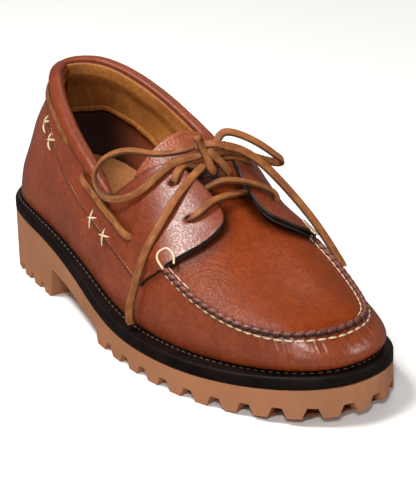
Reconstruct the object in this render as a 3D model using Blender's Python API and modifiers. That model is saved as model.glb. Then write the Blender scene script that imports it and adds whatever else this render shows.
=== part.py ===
"""Moc-toe boat shoe for the right foot, as an assembly of its sewn and moulded pieces.

Tables and lengths are in millimetres in the shoe's own frame: x runs from the heel's back edge to the toe,
y from the outer (lateral, negative) to the inner (medial) side, z up from the ground. The function to_metres
turns points into Blender's metres, with the origin under the middle of the sole.
"""
import math

import bmesh
import bpy
import numpy as np

# ---------------------------------------------------------------- driving dimensions, millimetres
SHOE = "moc_toe_boat_shoe"
FIT_GAP = 0.3              # play left between pieces that touch
UPPER_WALL = 2.0           # thickness of the upper's leather with its lining
OVERLAY = 1.7              # thickness of the quarter's leather
OVERLAY_GAP = 0.35         # play under the quarter
MIDSOLE_THICK = 7.0        # from the rubber's top to the upper's lower edge
MIDSOLE_BEVEL = 1.2
TONGUE_THICK = 2.2
TONGUE_PLAY = 1.2          # more play between the tongue and the leather over it
SEAM_HALF = 2.2            # half the width of the raised apron seam
SEAM_RISE = 2.4            # height of the raised apron seam
ROLL_HALF_WIDTH = 4.2      # padded collar roll, half its section
ROLL_HALF_HEIGHT = 4.5
ROLL_INSET = 2.0           # the roll's middle lies this far inside the upper's outer face
EYELET_RADIUS = 2.3
SIDE_HOLE_RADIUS = 2.1
LACE_RADIUS = 1.5

# Sole, from the side
GUM_TOP = ((0, 33.5), (60, 31.5), (110, 24.4), (160, 14.3), (215, 13.3), (260, 15.5), (302, 20.5))
INSOLE_THICK = ((0, 13.5), (90, 12.5), (130, 9.0), (175, 5.0), (215, 3.2), (302, 2.4))   # a footbed, raised at the heel
HEEL_BREAST_X = 75.5       # front face of the heel block, at the ground
SHANK = ((80.0, 17.5), (100, 16.0), (117, 13.4), (131, 10.6), (144, 7.4), (146, 0.0))
TOE_SPRING_X = 230.0       # the tread starts to rise here
TOE_SPRING = 5.4           # rise of the tread at the tip
FORE_PITCH = 17.96         # lug spacing round the forefoot
HEEL_PITCH = 15.0          # lug spacing round the heel
FORE_FIRST = 179.1         # arc length of the first forefoot gullet, from the heel's back on the outer side
FORE_GULLET = (10.8, 5.6, 5.4, 15.0, 0.8)   # width at the ground, at the roof, depth, length, inner width ratio
HEEL_GULLET = (8.6, 4.6, 4.6, 9.0, 0.6)
TREAD_GROOVE = 4.5         # width of the groove between edge lugs and middle tread
MIDDLE_SLOT = 5.0          # width of the slots across the middle tread

# The last, a row for each section from heel to toe. lateral, medial: half widths of the sole's outline at x.
# inset: from that outline in to the upper's lower edge. key_*: the line that rules the wall's top, which is
# the collar's rim behind the throat and the apron seam before it. bulge: how far the wall swells out.
# crest_*: the ridge over the foot, which is the apron's middle in front and runs on up the ankle behind.
LAST_COLUMNS = (
    "x", "lateral", "medial", "inset", "key_x", "key_lateral", "key_medial", "key_z", "bulge",
    "crest_x", "crest_y", "crest_z",
)
LAST_ROWS = {
    "heel back": (0.0, 0.3, -0.3, 3.0, 20.0, -2.0, 2.0, 102.6, 0.8, 64.0, 2.0, 150.0),
    "heel corner": (12.0, 24.1, 25.1, 3.2, 28.0, 3.6, 9.0, 104.6, -1.0, 68.0, 1.6, 150.0),
    "heel side": (40.0, 35.1, 36.0, 4.0, 49.0, 16.6, 20.9, 105.2, 0.8, 80.0, 1.2, 148.0),
    "waist rear": (85.0, 40.1, 33.0, 5.0, 86.5, 30.0, 32.8, 95.0, 2.5, 103.0, 0.8, 138.0),
    "waist": (130.0, 46.7, 35.0, 7.0, 131.0, 36.2, 38.5, 78.7, 3.0, 137.0, 1.0, 121.0),
    "instep": (180.0, 51.4, 47.1, 8.2, 177.0, 39.5, 40.5, 67.0, 3.0, 176.0, 2.5, 98.0),
    "ball": (225.0, 47.6, 55.8, 8.5, 220.0, 41.0, 42.5, 55.0, 3.0, 210.0, 3.5, 77.0),
    "toe side": (262.0, 35.3, 51.5, 7.9, 257.0, 34.0, 37.0, 46.6, 4.3, 234.0, 4.0, 65.0),
    "toe corner": (290.0, 17.8, 35.4, 7.2, 282.5, 18.5, 24.5, 44.8, 5.1, 250.0, 4.5, 59.0),
    "toe": (301.0, -6.4, 6.4, 6.9, 290.0, -4.0, 4.0, 44.3, 4.9, 255.0, 4.5, 57.5),
}
TOE = len(LAST_ROWS) - 1   # station number of the toe; the heel's back is station 0

RIM_RISE = ((0, 0), (1, 2.0), (2, 2.2), (3, 0.8), (4, 0), (9, 0))   # the inner side's rim stands this much higher

# Pattern lines on the last, as (station, height) pairs: height 0 is the lower edge, 1 the key line, 2 the crest
QUARTER_EDGE = ((0, 0.88), (2.4, 0.88), (2.8, 0.80), (3.3, 0.71), (3.9, 0.685), (4.5, 0.67), (5.1, 0.61), (9, 0.60))
WING_EDGE = ((4.38, 1.10), (4.63, 1.36), (4.75, 1.56), (4.88, 1.66), (5.12, 1.75), (5.36, 1.78), (5.6, 1.76),
             (5.85, 1.74), (7, 1.6), (9, 1.6))
# How far the quarter's front edge runs ahead of station FRONT at each height
FRONT_LEAN = ((0, -0.45), (0.60, -0.36), (0.8, -0.17), (0.94, -0.02), (1.02, 0.06), (1.14, 0.14), (1.33, 0.25),
              (1.51, 0.33), (1.62, 0.33), (1.75, 0.29), (2, 0.28))
FRONT = 5.6                # station where the quarter's front edge meets the apron seam
FRONT_MEDIAL = 0.10        # the inner side's front edge lies this much further forward
NOTCH = 4.38               # station where collar and wing meet
PLUG_REAR = 5.36           # the apron's rear edge, under the wings
STATIONS = (0, 0.35, 0.7, 1, 1.35, 1.7, 2, 2.3, 2.65, 3, 3.33, 3.66, 4, NOTCH, 4.63, 4.88, 5.12, PLUG_REAR,
            FRONT, 5.85, 6.1, 6.4, 6.7, 7, 7.3, 7.6, 7.85, 8.1, 8.35, 8.6, 8.8, 9)
ROW_QUARTER, ROW_KEY, ROW_WING = 3, 7, 12   # rows of the net that lie on the pattern lines

EYELETS = ((5.55, 1.48), (5.06, 1.56))      # lower and upper, in each wing
SIDE_HOLES = ((3.77, 0.95), (4.93, 0.94))   # where the side lace leaves and enters the quarter

HEEL_LACE = (3.15, 0.955)                   # the lace under the roll ends at this station on both sides, and its height

# Lace routes, chosen point by point along the middle of the lace
KNOT = (180.5, 3.5, 103.2)
KNOT_HALF = (4.6, 6.0, 5.4)                 # half the knot's size along x, y and z
UPPER_BAR = ((176.4, -11.6, 98.6), (177.2, -5.0, 96.8), (178.6, 1.0, 96.1), (179.6, 6.0, 96.1), (178.6, 11.5, 98.6))
ROUTES = {
    "lace_loop_lateral": (
        (175.2, -3.2, 106.6), (170.6, -8.5, 104.2), (165.8, -14.0, 102.8), (161.2, -21.0, 102.8),
        (156.0, -28.0, 104.2), (150.4, -34.5, 103.2), (145.2, -39.5, 99.2), (142.2, -43.0, 93.0),
        (143.4, -44.4, 86.8), (149.8, -43.8, 82.0), (159.4, -40.8, 82.2), (168.4, -35.2, 86.6),
        (172.8, -28.0, 92.9), (174.4, -20.2, 98.8), (175.4, -12.0, 101.6), (177.2, -3.6, 102.4)),
    "lace_loop_medial": (
        (177.0, 8.2, 107.6), (176.6, 13.6, 111.4), (180.6, 22.0, 108.8), (187.0, 29.0, 104.0),
        (190.6, 35.0, 98.4), (190.2, 38.6, 94.9), (186.4, 37.6, 93.0), (181.8, 29.5, 95.6),
        (177.8, 19.5, 99.8), (178.6, 10.0, 102.0)),
    "lace_end_lateral": (
        (181.4, -2.6, 98.0), (183.4, -9.0, 95.6), (186.4, -16.5, 92.2), (189.4, -24.6, 87.2),
        (191.6, -32.4, 80.2), (192.8, -39.2, 72.8), (192.6, -44.4, 65.0), (190.8, -47.4, 56.0),
        (187.8, -49.0, 46.0), (184.0, -49.6, 36.0), (181.4, -49.0, 27.0), (180.4, -47.6, 23.2)),
    "lace_end_medial": (
        (183.0, 8.3, 107.2), (186.0, 17.5, 103.4), (189.6, 25.5, 97.0), (194.2, 31.5, 89.6),
        (199.4, 37.0, 81.2), (205.4, 41.8, 72.6), (213.6, 46.2, 62.2), (223.6, 50.2, 49.2), (226.2, 51.0, 45.4)),
}

COLOURS = {                                 # name: (colour, roughness)
    "rust leather": ((0.32, 0.075, 0.026), 0.45),
    "tan leather": ((0.30, 0.105, 0.032), 0.60),
    "dark welt leather": ((0.014, 0.008, 0.006), 0.45),
    "gum rubber": ((0.40, 0.180, 0.090), 0.65),
    "rawhide": ((0.29, 0.095, 0.034), 0.70),
}


# ---------------------------------------------------------------- curves
def spline(values, station):
    """Natural cubic spline through values at stations 0, 1, 2 ..."""
    values = np.asarray(values, float)
    count = len(values)
    system = np.zeros((count, count))
    system[0, :2] = 2, 1
    system[-1, -2:] = 1, 2
    for i in range(1, count - 1):
        system[i, i - 1:i + 2] = 1, 4, 1
    padded = np.concatenate([values[:1], values, values[-1:]])
    slopes = np.linalg.solve(system, 3 * (padded[2:] - padded[:-2]))
    station = np.asarray(station, float)
    i = np.clip(np.floor(station).astype(int), 0, count - 2)
    return hermite(values[i], values[i + 1], slopes[i], slopes[i + 1], station - i)


def hermite(start, end, start_slope, end_slope, t):
    return ((2 * t ** 3 - 3 * t ** 2 + 1) * start + (t ** 3 - 2 * t ** 2 + t) * start_slope
            + (3 * t ** 2 - 2 * t ** 3) * end + (t ** 3 - t ** 2) * end_slope)


def profile(table, x):
    """Smooth curve through a table of (x, height) pairs, with the mean of the two slopes at each pair."""
    xs, zs = np.array(table, float).T
    steps = np.diff(zs) / np.diff(xs)
    slopes = np.concatenate([steps[:1], (steps[1:] + steps[:-1]) / 2, steps[-1:]])
    x = np.asarray(x, float)
    i = np.clip(np.searchsorted(xs, x, side="right") - 1, 0, len(xs) - 2)
    width = xs[i + 1] - xs[i]
    t = np.clip((x - xs[i]) / width, 0, 1)
    return hermite(zs[i], zs[i + 1], slopes[i] * width, slopes[i + 1] * width, t)


def straight(table, x):
    xs, values = np.array(table, float).T
    return np.interp(x, xs, values)


def unit(vectors):
    return vectors / np.maximum(np.linalg.norm(vectors, axis=-1, keepdims=True), 1e-12)


def last_column(name):
    column = LAST_COLUMNS.index(name)
    return np.array([row[column] for row in LAST_ROWS.values()])


def outline_knots():
    """Corner points of the sole's outline: out along the outer side, back along the inner side."""
    x, lateral, medial = (last_column(name) for name in ("x", "lateral", "medial"))
    outer = np.stack([x, -lateral], -1)
    inner = np.stack([x, medial], -1)
    return np.concatenate([outer, inner[-2:0:-1]])


KNOTS = outline_knots()
KNOT_RING = 4 * np.eye(len(KNOTS)) + np.roll(np.eye(len(KNOTS)), 1, 0) + np.roll(np.eye(len(KNOTS)), -1, 0)
KNOT_SLOPES = np.linalg.solve(KNOT_RING, 3 * (np.roll(KNOTS, -1, 0) - np.roll(KNOTS, 1, 0)))


def outline(station, medial):
    """Point of the sole's outline at a station of one side, and the direction inwards from it."""
    turn = np.where(medial, 2 * TOE - np.asarray(station, float), station)
    turn = np.mod(turn, 2 * TOE)
    i = np.floor(turn).astype(int)
    t = (turn - i)[..., None]
    after = (i + 1) % len(KNOTS)
    point = hermite(KNOTS[i], KNOTS[after], KNOT_SLOPES[i], KNOT_SLOPES[after], t)
    step = 1e-4
    ahead = hermite(KNOTS[i], KNOTS[after], KNOT_SLOPES[i], KNOT_SLOPES[after], t + step)
    along = unit(ahead - point)
    return point, np.stack([-along[..., 1], along[..., 0]], -1)


def with_height(plan, height):
    return np.concatenate([plan, np.asarray(height)[..., None]], -1)


def feather(station, medial):
    """Lower edge of the upper, where it stands on the midsole."""
    point, inward = outline(station, medial)
    plan = point + inward * spline(last_column("inset"), station)[..., None]
    return with_height(plan, profile(GUM_TOP, plan[..., 0]) + MIDSOLE_THICK + FIT_GAP + 0.25)


def key_line(station, medial):
    """Collar rim behind the throat, apron seam before it."""
    y = np.where(medial, spline(last_column("key_medial"), station), -spline(last_column("key_lateral"), station))
    z = spline(last_column("key_z"), station) + np.where(medial, profile(RIM_RISE, station), 0)
    return np.stack([spline(last_column("key_x"), station), y, z], -1)


def crest(station):
    return np.stack([spline(last_column(name), station) for name in ("crest_x", "crest_y", "crest_z")], -1)


def last_surface(station, height, medial):
    """Outer face of the upper: height runs 0 to 1 up the wall to the key line and 1 to 2 on to the crest."""
    station, height, medial = np.broadcast_arrays(np.asarray(station, float), np.asarray(height, float), medial)
    low, key, top = feather(station, medial), key_line(station, medial), crest(station)
    outward = np.concatenate([-outline(station, medial)[1], np.zeros(station.shape + (1,))], -1)
    swell = outward * spline(last_column("bulge"), station)[..., None]
    lean = (key - low) * (1, 1, 0)
    rise = (key - low) * (0, 0, 1)
    t = np.clip(height, 0, 1)[..., None]
    wall = low + lean * t ** 1.8 + rise * t + swell * np.sin(math.pi * t ** 0.75)
    # over the top: smooth with the wall at the instep, a corner at the apron seam
    soft = np.clip(FRONT + 0.3 - station, 0, 1)[..., None]
    wall_end = unit(lean * 1.8 + rise - swell * 0.75 * math.pi)
    apron_start = unit(unit(top - key) + (0, 0, 0.22))
    span = np.linalg.norm(top - key, axis=-1, keepdims=True)
    start = unit(wall_end * soft + apron_start * (1 - soft)) * span * (1 + 0.15 * soft)
    end = unit((top - key) * (1, 1, 0)) * span * 0.8
    cap = hermite(key, top, start, end, np.clip(height - 1, 0, 1)[..., None])
    return np.where(height[..., None] <= 1, wall, cap)


def surface_normal(station, height, medial):
    step = 0.01
    along = last_surface(station + step, height, medial) - last_surface(station - step, height, medial)
    up = last_surface(station, height + step, medial) - last_surface(station, height - step, medial)
    return unit(np.cross(along, up) * (-1.0 if medial else 1.0))


def over_surface(station, height, medial, offset):
    """Point at a distance outside the upper's outer face."""
    point = last_surface(station, height, medial)
    return point + surface_normal(station, height, medial) * offset


# ---------------------------------------------------------------- Blender helpers
def sole_centre():
    stations = np.linspace(0, TOE, 400)
    both = np.concatenate([outline(stations, False)[0], outline(stations, True)[0]])
    return (both.min(0) + both.max(0)) / 2


CENTRE = sole_centre()


def to_metres(points):
    return (np.asarray(points, float) - (CENTRE[0], CENTRE[1], 0)) * 0.001


def clear_scene():
    for thing in list(bpy.data.objects):
        bpy.data.objects.remove(thing, do_unlink=True)


def new_collection(name):
    group = bpy.data.collections.new(name)
    bpy.context.scene.collection.children.link(group)
    return group


def material(name):
    colour, roughness = COLOURS[name]
    finish = bpy.data.materials.get(name) or bpy.data.materials.new(name)
    finish.use_nodes = True
    shader = finish.node_tree.nodes["Principled BSDF"]
    shader.inputs["Base Color"].default_value = (*colour, 1)
    shader.inputs["Roughness"].default_value = roughness
    shader.inputs["Metallic"].default_value = 0
    finish.diffuse_color = (*colour, 1)
    return finish


def add_mesh(name, points, faces, finish, group, weld=1e-6):
    """Object from points in millimetres and faces; welds doubles and turns the faces one way."""
    mesh = bpy.data.meshes.new(name)
    mesh.from_pydata([tuple(p) for p in to_metres(points)], [], faces)
    work = bmesh.new()
    work.from_mesh(mesh)
    bmesh.ops.remove_doubles(work, verts=work.verts, dist=weld)
    bmesh.ops.dissolve_degenerate(work, edges=work.edges, dist=weld)
    bmesh.ops.recalc_face_normals(work, faces=work.faces)
    work.to_mesh(mesh)
    work.free()
    thing = bpy.data.objects.new(name, mesh)
    group.objects.link(thing)
    if finish:
        mesh.materials.append(material(finish))
    mesh.shade_smooth()
    mesh.set_sharp_from_angle(angle=math.radians(40))
    return thing


def two_triangles(a, b, c, d):
    return [(a, b, c), (a, c, d)]


def cut(target, cutter):
    step = target.modifiers.new("cut " + cutter.name, "BOOLEAN")
    step.operation = "DIFFERENCE"
    step.solver = "EXACT"
    step.object = cutter


def apply_modifiers(thing):
    """Bakes the modifiers in, so that each cut works on the result of the one before."""
    depsgraph = bpy.context.evaluated_depsgraph_get()
    mesh = bpy.data.meshes.new_from_object(thing.evaluated_get(depsgraph))
    thing.modifiers.clear()
    thing.data = mesh
    return thing


def as_cutter(thing):
    thing.hide_render = True
    thing.display_type = "WIRE"
    return thing


# ---------------------------------------------------------------- the net of the last
class Net:
    """Grid of points on the last, both sides, whose rows and columns lie on the pattern lines."""

    def __init__(self):
        self.points = []
        self.number = {}
        for medial in (False, True):
            for i, station in enumerate(STATIONS):
                for j, point in enumerate(self.column(station, medial)):
                    self.number[medial, i, j] = len(self.points)
                    self.points.append(point)
        self.points = np.array(self.points)

    @staticmethod
    def heights(station):
        wall_rise = float(key_line(station, False)[2] - feather(station, False)[2])
        reach = float(np.linalg.norm(crest(station) - key_line(station, False)))
        below = 1 - SEAM_HALF / wall_rise
        above = 1 + SEAM_HALF / reach
        low = float(straight(QUARTER_EDGE, station))
        wing = max(float(straight(WING_EDGE, station)), above)
        if station <= NOTCH:
            wing = above
        if station == FRONT:
            wing -= 0.06                       # rounds the wing's tip
        rows = [0, low / 3, low * 2 / 3, low, low + (below - low) / 3, low + (below - low) * 2 / 3, below, 1, above]
        rows += [above + (wing - above) * k / 4 for k in (1, 2, 3, 4)]
        return rows + [(wing + 2) / 2, 2]

    @staticmethod
    def column(station, medial):
        near_front = max(0.0, 1 - abs(station - FRONT) / 0.7)
        near_mouth = max(0.0, min(1.0, (station - FRONT - 0.05) / 0.2))
        points = []
        for j, height in enumerate(Net.heights(station)):
            lean = float(straight(FRONT_LEAN, height))
            if medial:
                lean += FRONT_MEDIAL * min(1.0, (2 - height) / 0.2)
            place = station + lean * near_front
            point = last_surface(place, height, medial)
            if j == ROW_KEY:
                point = point + surface_normal(place, 0.98, medial) * SEAM_RISE * near_mouth * 0.5
                point = point + np.array((0, 0, 1)) * SEAM_RISE * near_mouth * 0.6
            points.append(point)
        return points

    def faces(self, wanted):
        """Triangles of the cells for which wanted(column, row) says yes."""
        found = []
        rows = len(self.heights(0.0)) - 1
        for medial in (False, True):
            for i in range(len(STATIONS) - 1):
                for j in range(rows):
                    if wanted(i, j):
                        corners = [self.number[medial, i, j], self.number[medial, i + 1, j],
                                   self.number[medial, i + 1, j + 1], self.number[medial, i, j + 1]]
                        found += two_triangles(*corners)
        return found


def outward_offset(points, faces, offset):
    """Points of an open net moved along their own normals, away from the shoe's inside."""
    work = bmesh.new()
    corners = [work.verts.new(p) for p in points]
    for face in faces:
        try:
            work.faces.new([corners[k] for k in face])
        except ValueError:
            continue
    bmesh.ops.remove_doubles(work, verts=work.verts, dist=1e-3)
    bmesh.ops.dissolve_degenerate(work, edges=work.edges, dist=1e-3)
    bmesh.ops.delete(work, geom=[v for v in work.verts if not v.link_faces], context="VERTS")
    bmesh.ops.recalc_face_normals(work, faces=work.faces)
    heel = min(work.faces, key=lambda f: f.calc_center_median().x)
    if heel.normal.x > 0:
        bmesh.ops.reverse_faces(work, faces=work.faces)
    work.normal_update()
    for corner in work.verts:
        corner.co = corner.co + corner.normal * offset
    work.verts.index_update()
    result = ([tuple(v.co) for v in work.verts], [[v.index for v in f.verts] for f in work.faces])
    work.free()
    return result


def leather_shell(name, net_points, faces, offset, thickness, finish, group):
    """Sheet whose outer face lies offset outside the net, thickened inwards."""
    points, cells = outward_offset(net_points, faces, offset)
    thing = add_mesh(name, points, cells, finish, group)
    heel = min(thing.data.polygons, key=lambda p: p.center.x)
    if heel.normal.x > 0:
        thing.data.flip_normals()
    thicken = thing.modifiers.new("leather", "SOLIDIFY")
    thicken.thickness = thickness * 0.001
    thicken.offset = -1
    thicken.use_rim = True
    return thing


# ---------------------------------------------------------------- sole
def ring_points(stations, inset, height_of):
    """Closed ring round the sole, an inset inside its outline."""
    sides = []
    for medial, order in ((False, stations), (True, stations[-2:0:-1])):
        point, inward = outline(np.array(order), medial)
        plan = point + inward * inset
        sides.append(with_height(plan, height_of(plan[:, 0])))
    return np.concatenate(sides)


def plate(name, stations, levels, finish, group):
    """Flat body from rings (inset, height function) from below to above, closed across by ladders."""
    count = 2 * len(stations) - 2
    rings = [ring_points(stations, inset, height_of) for inset, height_of in levels]
    faces = []
    for k in range(len(rings) - 1):
        for i in range(count):
            after = (i + 1) % count
            faces += two_triangles(k * count + i, k * count + after, (k + 1) * count + after, (k + 1) * count + i)
    for ring in (0, len(rings) - 1):
        base = ring * count
        for i in range(len(stations) - 1):
            inner = (base + (count - i) % count, base + (count - i - 1) % count)
            corners = [base + i, base + i + 1, inner[1], inner[0]]
            faces += [f for f in two_triangles(*corners) if len(set(f)) == 3]
    return add_mesh(name, np.concatenate(rings), faces, finish, group)


def sole_stations(step=0.25):
    return list(np.arange(0, TOE + step / 2, step))


def prism(name, polygon, direction, start, end, group):
    """Straight body with a polygon as its section; direction is the axis it runs along."""
    polygon = [tuple(p) for p in polygon]
    place = {"y": lambda p, d: (p[0], d, p[1]), "z": lambda p, d: (p[0], p[1], d)}[direction]
    points = [place(p, start) for p in polygon] + [place(p, end) for p in polygon]
    count = len(polygon)
    faces = [list(range(count))[::-1], list(range(count, 2 * count))]
    faces += [(i, (i + 1) % count, count + (i + 1) % count, count + i) for i in range(count)]
    return add_mesh(name, points, faces, None, group)


def tread_height(x):
    return TOE_SPRING * np.clip((np.asarray(x, float) - TOE_SPRING_X) / (302 - TOE_SPRING_X), 0, 1) ** 1.6


def sole_side_view():
    """The rubber's outline from the side: top, toe spring, forefoot, shank, heel breast and heel."""
    top_x = np.linspace(-5, 308, 33)
    tread_x = np.linspace(TOE_SPRING_X, 308, 9)
    top = [(x, float(profile(GUM_TOP, np.clip(x, 0, 302)))) for x in top_x]
    tread = [(x, float(tread_height(x))) for x in tread_x[::-1]]
    shank = [(x, z) for x, z in SHANK[::-1]]
    return top + tread + shank + [(HEEL_BREAST_X, 0), (-5, 0)]


def gullet(name, point, inward, sizes, group):
    """Cutter for one gap between two lugs: a wedge with its wide side at the ground."""
    mouth, roof, depth, length, inner = sizes
    along = np.array((-inward[1], inward[0]))
    floor = float(tread_height(point[0]))
    corners = []
    for reach, ratio in ((-6.0, 1.0), (length, inner)):
        for width, height in ((mouth + (mouth - roof) / depth * 0.5, -0.5), (roof, depth)):
            for side in (-0.5, 0.5):
                plan = point + inward * reach + along * side * width * ratio
                corners.append((plan[0], plan[1], floor + height))
    faces = [(0, 1, 3, 2), (4, 6, 7, 5), (0, 4, 5, 1), (2, 3, 7, 6), (0, 2, 6, 4), (1, 5, 7, 3)]
    return as_cutter(add_mesh(name, corners, faces, None, group))


def walk_outline():
    """Dense outline with its arc length, from the heel's back round the outer side and home."""
    stations = np.linspace(0, TOE, 900)
    outer, outer_in = outline(stations, False)
    inner, inner_in = outline(stations[::-1], True)
    points = np.concatenate([outer, inner[1:]])
    inwards = np.concatenate([outer_in, inner_in[1:]])
    steps = np.linalg.norm(np.diff(points, axis=0), axis=1)
    return points, inwards, np.concatenate([[0], np.cumsum(steps)])


def gullet_places():
    """Where the edge gullets stand, with their sizes: round the heel block and round the forefoot."""
    points, inwards, arc = walk_outline()
    places = []
    for k in range(-6, 6):
        places.append(((k + 0.5) * HEEL_PITCH % arc[-1], HEEL_GULLET))
    fore = FORE_FIRST
    while fore < arc[-1]:
        places.append((fore, FORE_GULLET))
        fore += FORE_PITCH
    chosen = []
    for place, sizes in places:
        i = int(np.argmin(np.abs(arc - place)))
        x = points[i][0]
        if (sizes is HEEL_GULLET and x < HEEL_BREAST_X - 5) or (sizes is FORE_GULLET and x > SHANK[-1][0] + 6):
            chosen.append((points[i], inwards[i], sizes))
    return chosen


def joined_prisms(name, bodies, group):
    """One cutter mesh from several bodies that don't touch each other."""
    points = []
    faces = []
    for body in bodies:
        base = len(points)
        points += [tuple(v.co) for v in body.data.vertices]
        faces += [[base + k for k in p.vertices] for p in body.data.polygons]
        bpy.data.objects.remove(body, do_unlink=True)
    mesh = bpy.data.meshes.new(name)
    mesh.from_pydata(points, [], faces)
    thing = bpy.data.objects.new(name, mesh)
    group.objects.link(thing)
    return as_cutter(thing)


def band_prism(name, inset, width, from_x, to_x, roof, group):
    """Cutter for the groove that runs inside the lugs between two x positions, open towards the back."""
    stations = np.linspace(0, TOE, 55)
    rings = []
    for reach in (inset, inset + width):
        sides = []
        for medial, order in ((False, stations), (True, stations[::-1])):
            point, inward = outline(order, medial)
            plan = point + inward * reach
            keep = (plan[:, 0] > from_x) & (plan[:, 0] < to_x)
            sides.append(plan[keep])
        rings.append(np.concatenate(sides))
    count = min(len(rings[0]), len(rings[1]))
    outer = resample(rings[0], count)
    inner = resample(rings[1], count)
    points = []
    for plan in (outer, inner):
        for height in (-1.0, roof):
            points += [(p[0], p[1], float(tread_height(p[0])) + height) for p in plan]
    faces = []
    for i in range(count - 1):
        for a, b in ((0, 1), (1, 3), (3, 2), (2, 0)):
            faces.append((a * count + i, a * count + i + 1, b * count + i + 1, b * count + i))
    for i in (0, count - 1):
        faces.append((i, count + i, 3 * count + i, 2 * count + i))
    return as_cutter(add_mesh(name, points, faces, None, group))


def resample(points, count):
    """Evenly spaced points along a run of points."""
    points = np.asarray(points, float)
    arc = np.concatenate([[0], np.cumsum(np.linalg.norm(np.diff(points, axis=0), axis=1))])
    marks = np.linspace(0, arc[-1], count)
    return np.stack([np.interp(marks, arc, points[:, k]) for k in range(points.shape[1])], -1)


def make_outsole(group, cutters):
    """Rubber unit: the outline seen from above, cut by the outline seen from the side, then the tread."""
    stations = sole_stations()
    above = ring_points(stations, 0.0, lambda x: x * 0)
    sole = prism("outsole", above[:, :2], "z", -1.0, 45.0, group)
    sole.data.materials.append(material("gum rubber"))
    side = as_cutter(prism("sole_side_view", sole_side_view(), "y", -90.0, 90.0, cutters))
    shape = sole.modifiers.new("side view", "BOOLEAN")
    shape.operation = "INTERSECT"
    shape.solver = "EXACT"
    shape.object = side
    apply_modifiers(sole)
    wedges = [gullet(f"gullet_{k}", *place, cutters) for k, place in enumerate(gullet_places())]
    cut(sole, joined_prisms("edge_gullets", wedges, cutters))
    apply_modifiers(sole)
    length, depth = FORE_GULLET[3], FORE_GULLET[2] * 0.7
    groove = band_prism("tread_groove", length - 0.5, TREAD_GROOVE, SHANK[-1][0] + 2, 400.0, depth, cutters)
    cut(sole, groove)
    apply_modifiers(sole)
    slots = []
    for k, x in enumerate(np.arange(SHANK[-1][0] + 12, 270.0, FORE_PITCH)):
        half = float(min(outline_half(x, False), outline_half(x, True))) - length - 1.0
        middle = (outline_half(x, True) - outline_half(x, False)) / 2
        floor = float(tread_height(x))
        section = [(x - MIDDLE_SLOT / 2, floor - 1), (x + MIDDLE_SLOT / 2, floor - 1),
                   (x + MIDDLE_SLOT / 2, floor + depth), (x - MIDDLE_SLOT / 2, floor + depth)]
        slots.append(prism(f"slot_{k}", section, "y", middle - half, middle + half, cutters))
    cut(sole, joined_prisms("middle_slots", slots, cutters))
    apply_modifiers(sole)
    sole.data.shade_smooth()
    sole.data.set_sharp_from_angle(angle=math.radians(35))
    return sole


def outline_half(x, medial):
    """Half width of the outline at x on one side."""
    stations = np.linspace(0, TOE, 900)
    points = outline(stations, medial)[0]
    return float(np.interp(x, points[:, 0], np.abs(points[:, 1])))


def make_midsole(group):
    low = lambda x: profile(GUM_TOP, np.clip(x, 0, 302)) + FIT_GAP
    edge = lambda x: profile(GUM_TOP, np.clip(x, 0, 302)) + MIDSOLE_THICK - MIDSOLE_BEVEL
    top = lambda x: profile(GUM_TOP, np.clip(x, 0, 302)) + MIDSOLE_THICK
    levels = [(0.5, low), (0.0, edge), (MIDSOLE_BEVEL, top)]
    return plate("midsole", sole_stations(), levels, "dark welt leather", group)


def make_insole(group):
    """Footbed inside the upper: it thickens towards the heel, and its edge keeps clear of the wall all round."""
    stations = sole_stations(0.3)
    margin = UPPER_WALL + 2.2
    rings = []
    for share in (0.0, 0.5, 1.0):
        sides = []
        for medial, order in ((False, stations), (True, stations[-2:0:-1])):
            order = np.array(order)
            inward = outline(order, medial)[1]
            foot = feather(order, medial)
            thick = profile(INSOLE_THICK, np.clip(foot[:, 0], 0, 302)) * share
            wall = last_surface(order, thick / (key_line(order, medial) - foot)[:, 2], medial)[:, :2]
            plan = wall + inward * margin
            level = profile(GUM_TOP, np.clip(plan[:, 0], 0, 302)) + MIDSOLE_THICK + FIT_GAP + thick
            sides.append(with_height(plan, level))
        rings.append(np.concatenate(sides))
    count = len(rings[0])
    faces = []
    for low in (0, count):
        for i in range(count):
            after = (i + 1) % count
            faces += two_triangles(low + i, low + after, low + count + after, low + count + i)
    for base in (0, 2 * count):
        for i in range(len(stations) - 1):
            corners = [base + i, base + i + 1, base + (count - i - 1) % count, base + (count - i) % count]
            faces += [f for f in two_triangles(*corners) if len(set(f)) == 3]
    return add_mesh("insole", np.concatenate(rings), faces, "tan leather", group)


# ---------------------------------------------------------------- upper pieces
def make_upper(net, group):
    plug = STATIONS.index(PLUG_REAR)
    notch = STATIONS.index(NOTCH)

    def wanted(i, j):
        if j < ROW_KEY:
            return True
        if j < ROW_WING:
            return i >= notch
        return i >= plug
    return leather_shell("upper", net.points, net.faces(wanted), 0.0, UPPER_WALL, "rust leather", group)


def make_quarter(net, group):
    front = STATIONS.index(FRONT)
    notch = STATIONS.index(NOTCH)

    def wanted(i, j):
        if i >= front or j < ROW_QUARTER:
            return False
        return j < ROW_KEY or (i >= notch and j < ROW_WING)
    outer = OVERLAY_GAP + OVERLAY
    return leather_shell("quarter", net.points, net.faces(wanted), outer, OVERLAY, "rust leather", group)


def hole_cutter(name, station, height, medial, radius, depth_in, depth_out, group):
    """Round cutter square to the leather."""
    point = last_surface(station, height, medial)
    normal = surface_normal(np.asarray(station), np.asarray(height), medial)
    side = unit(np.cross(normal, (0, 0, 1.0)))
    other = np.cross(normal, side)
    ring = [(math.cos(a), math.sin(a)) for a in np.linspace(0, 2 * math.pi, 12, endpoint=False)]
    points = []
    for depth in (-depth_in, depth_out):
        points += [point + normal * depth + side * radius * c + other * radius * s for c, s in ring]
    count = len(ring)
    faces = [list(range(count))[::-1], list(range(count, 2 * count))]
    faces += [(i, (i + 1) % count, count + (i + 1) % count, count + i) for i in range(count)]
    return as_cutter(add_mesh(name, points, faces, None, group))


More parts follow.
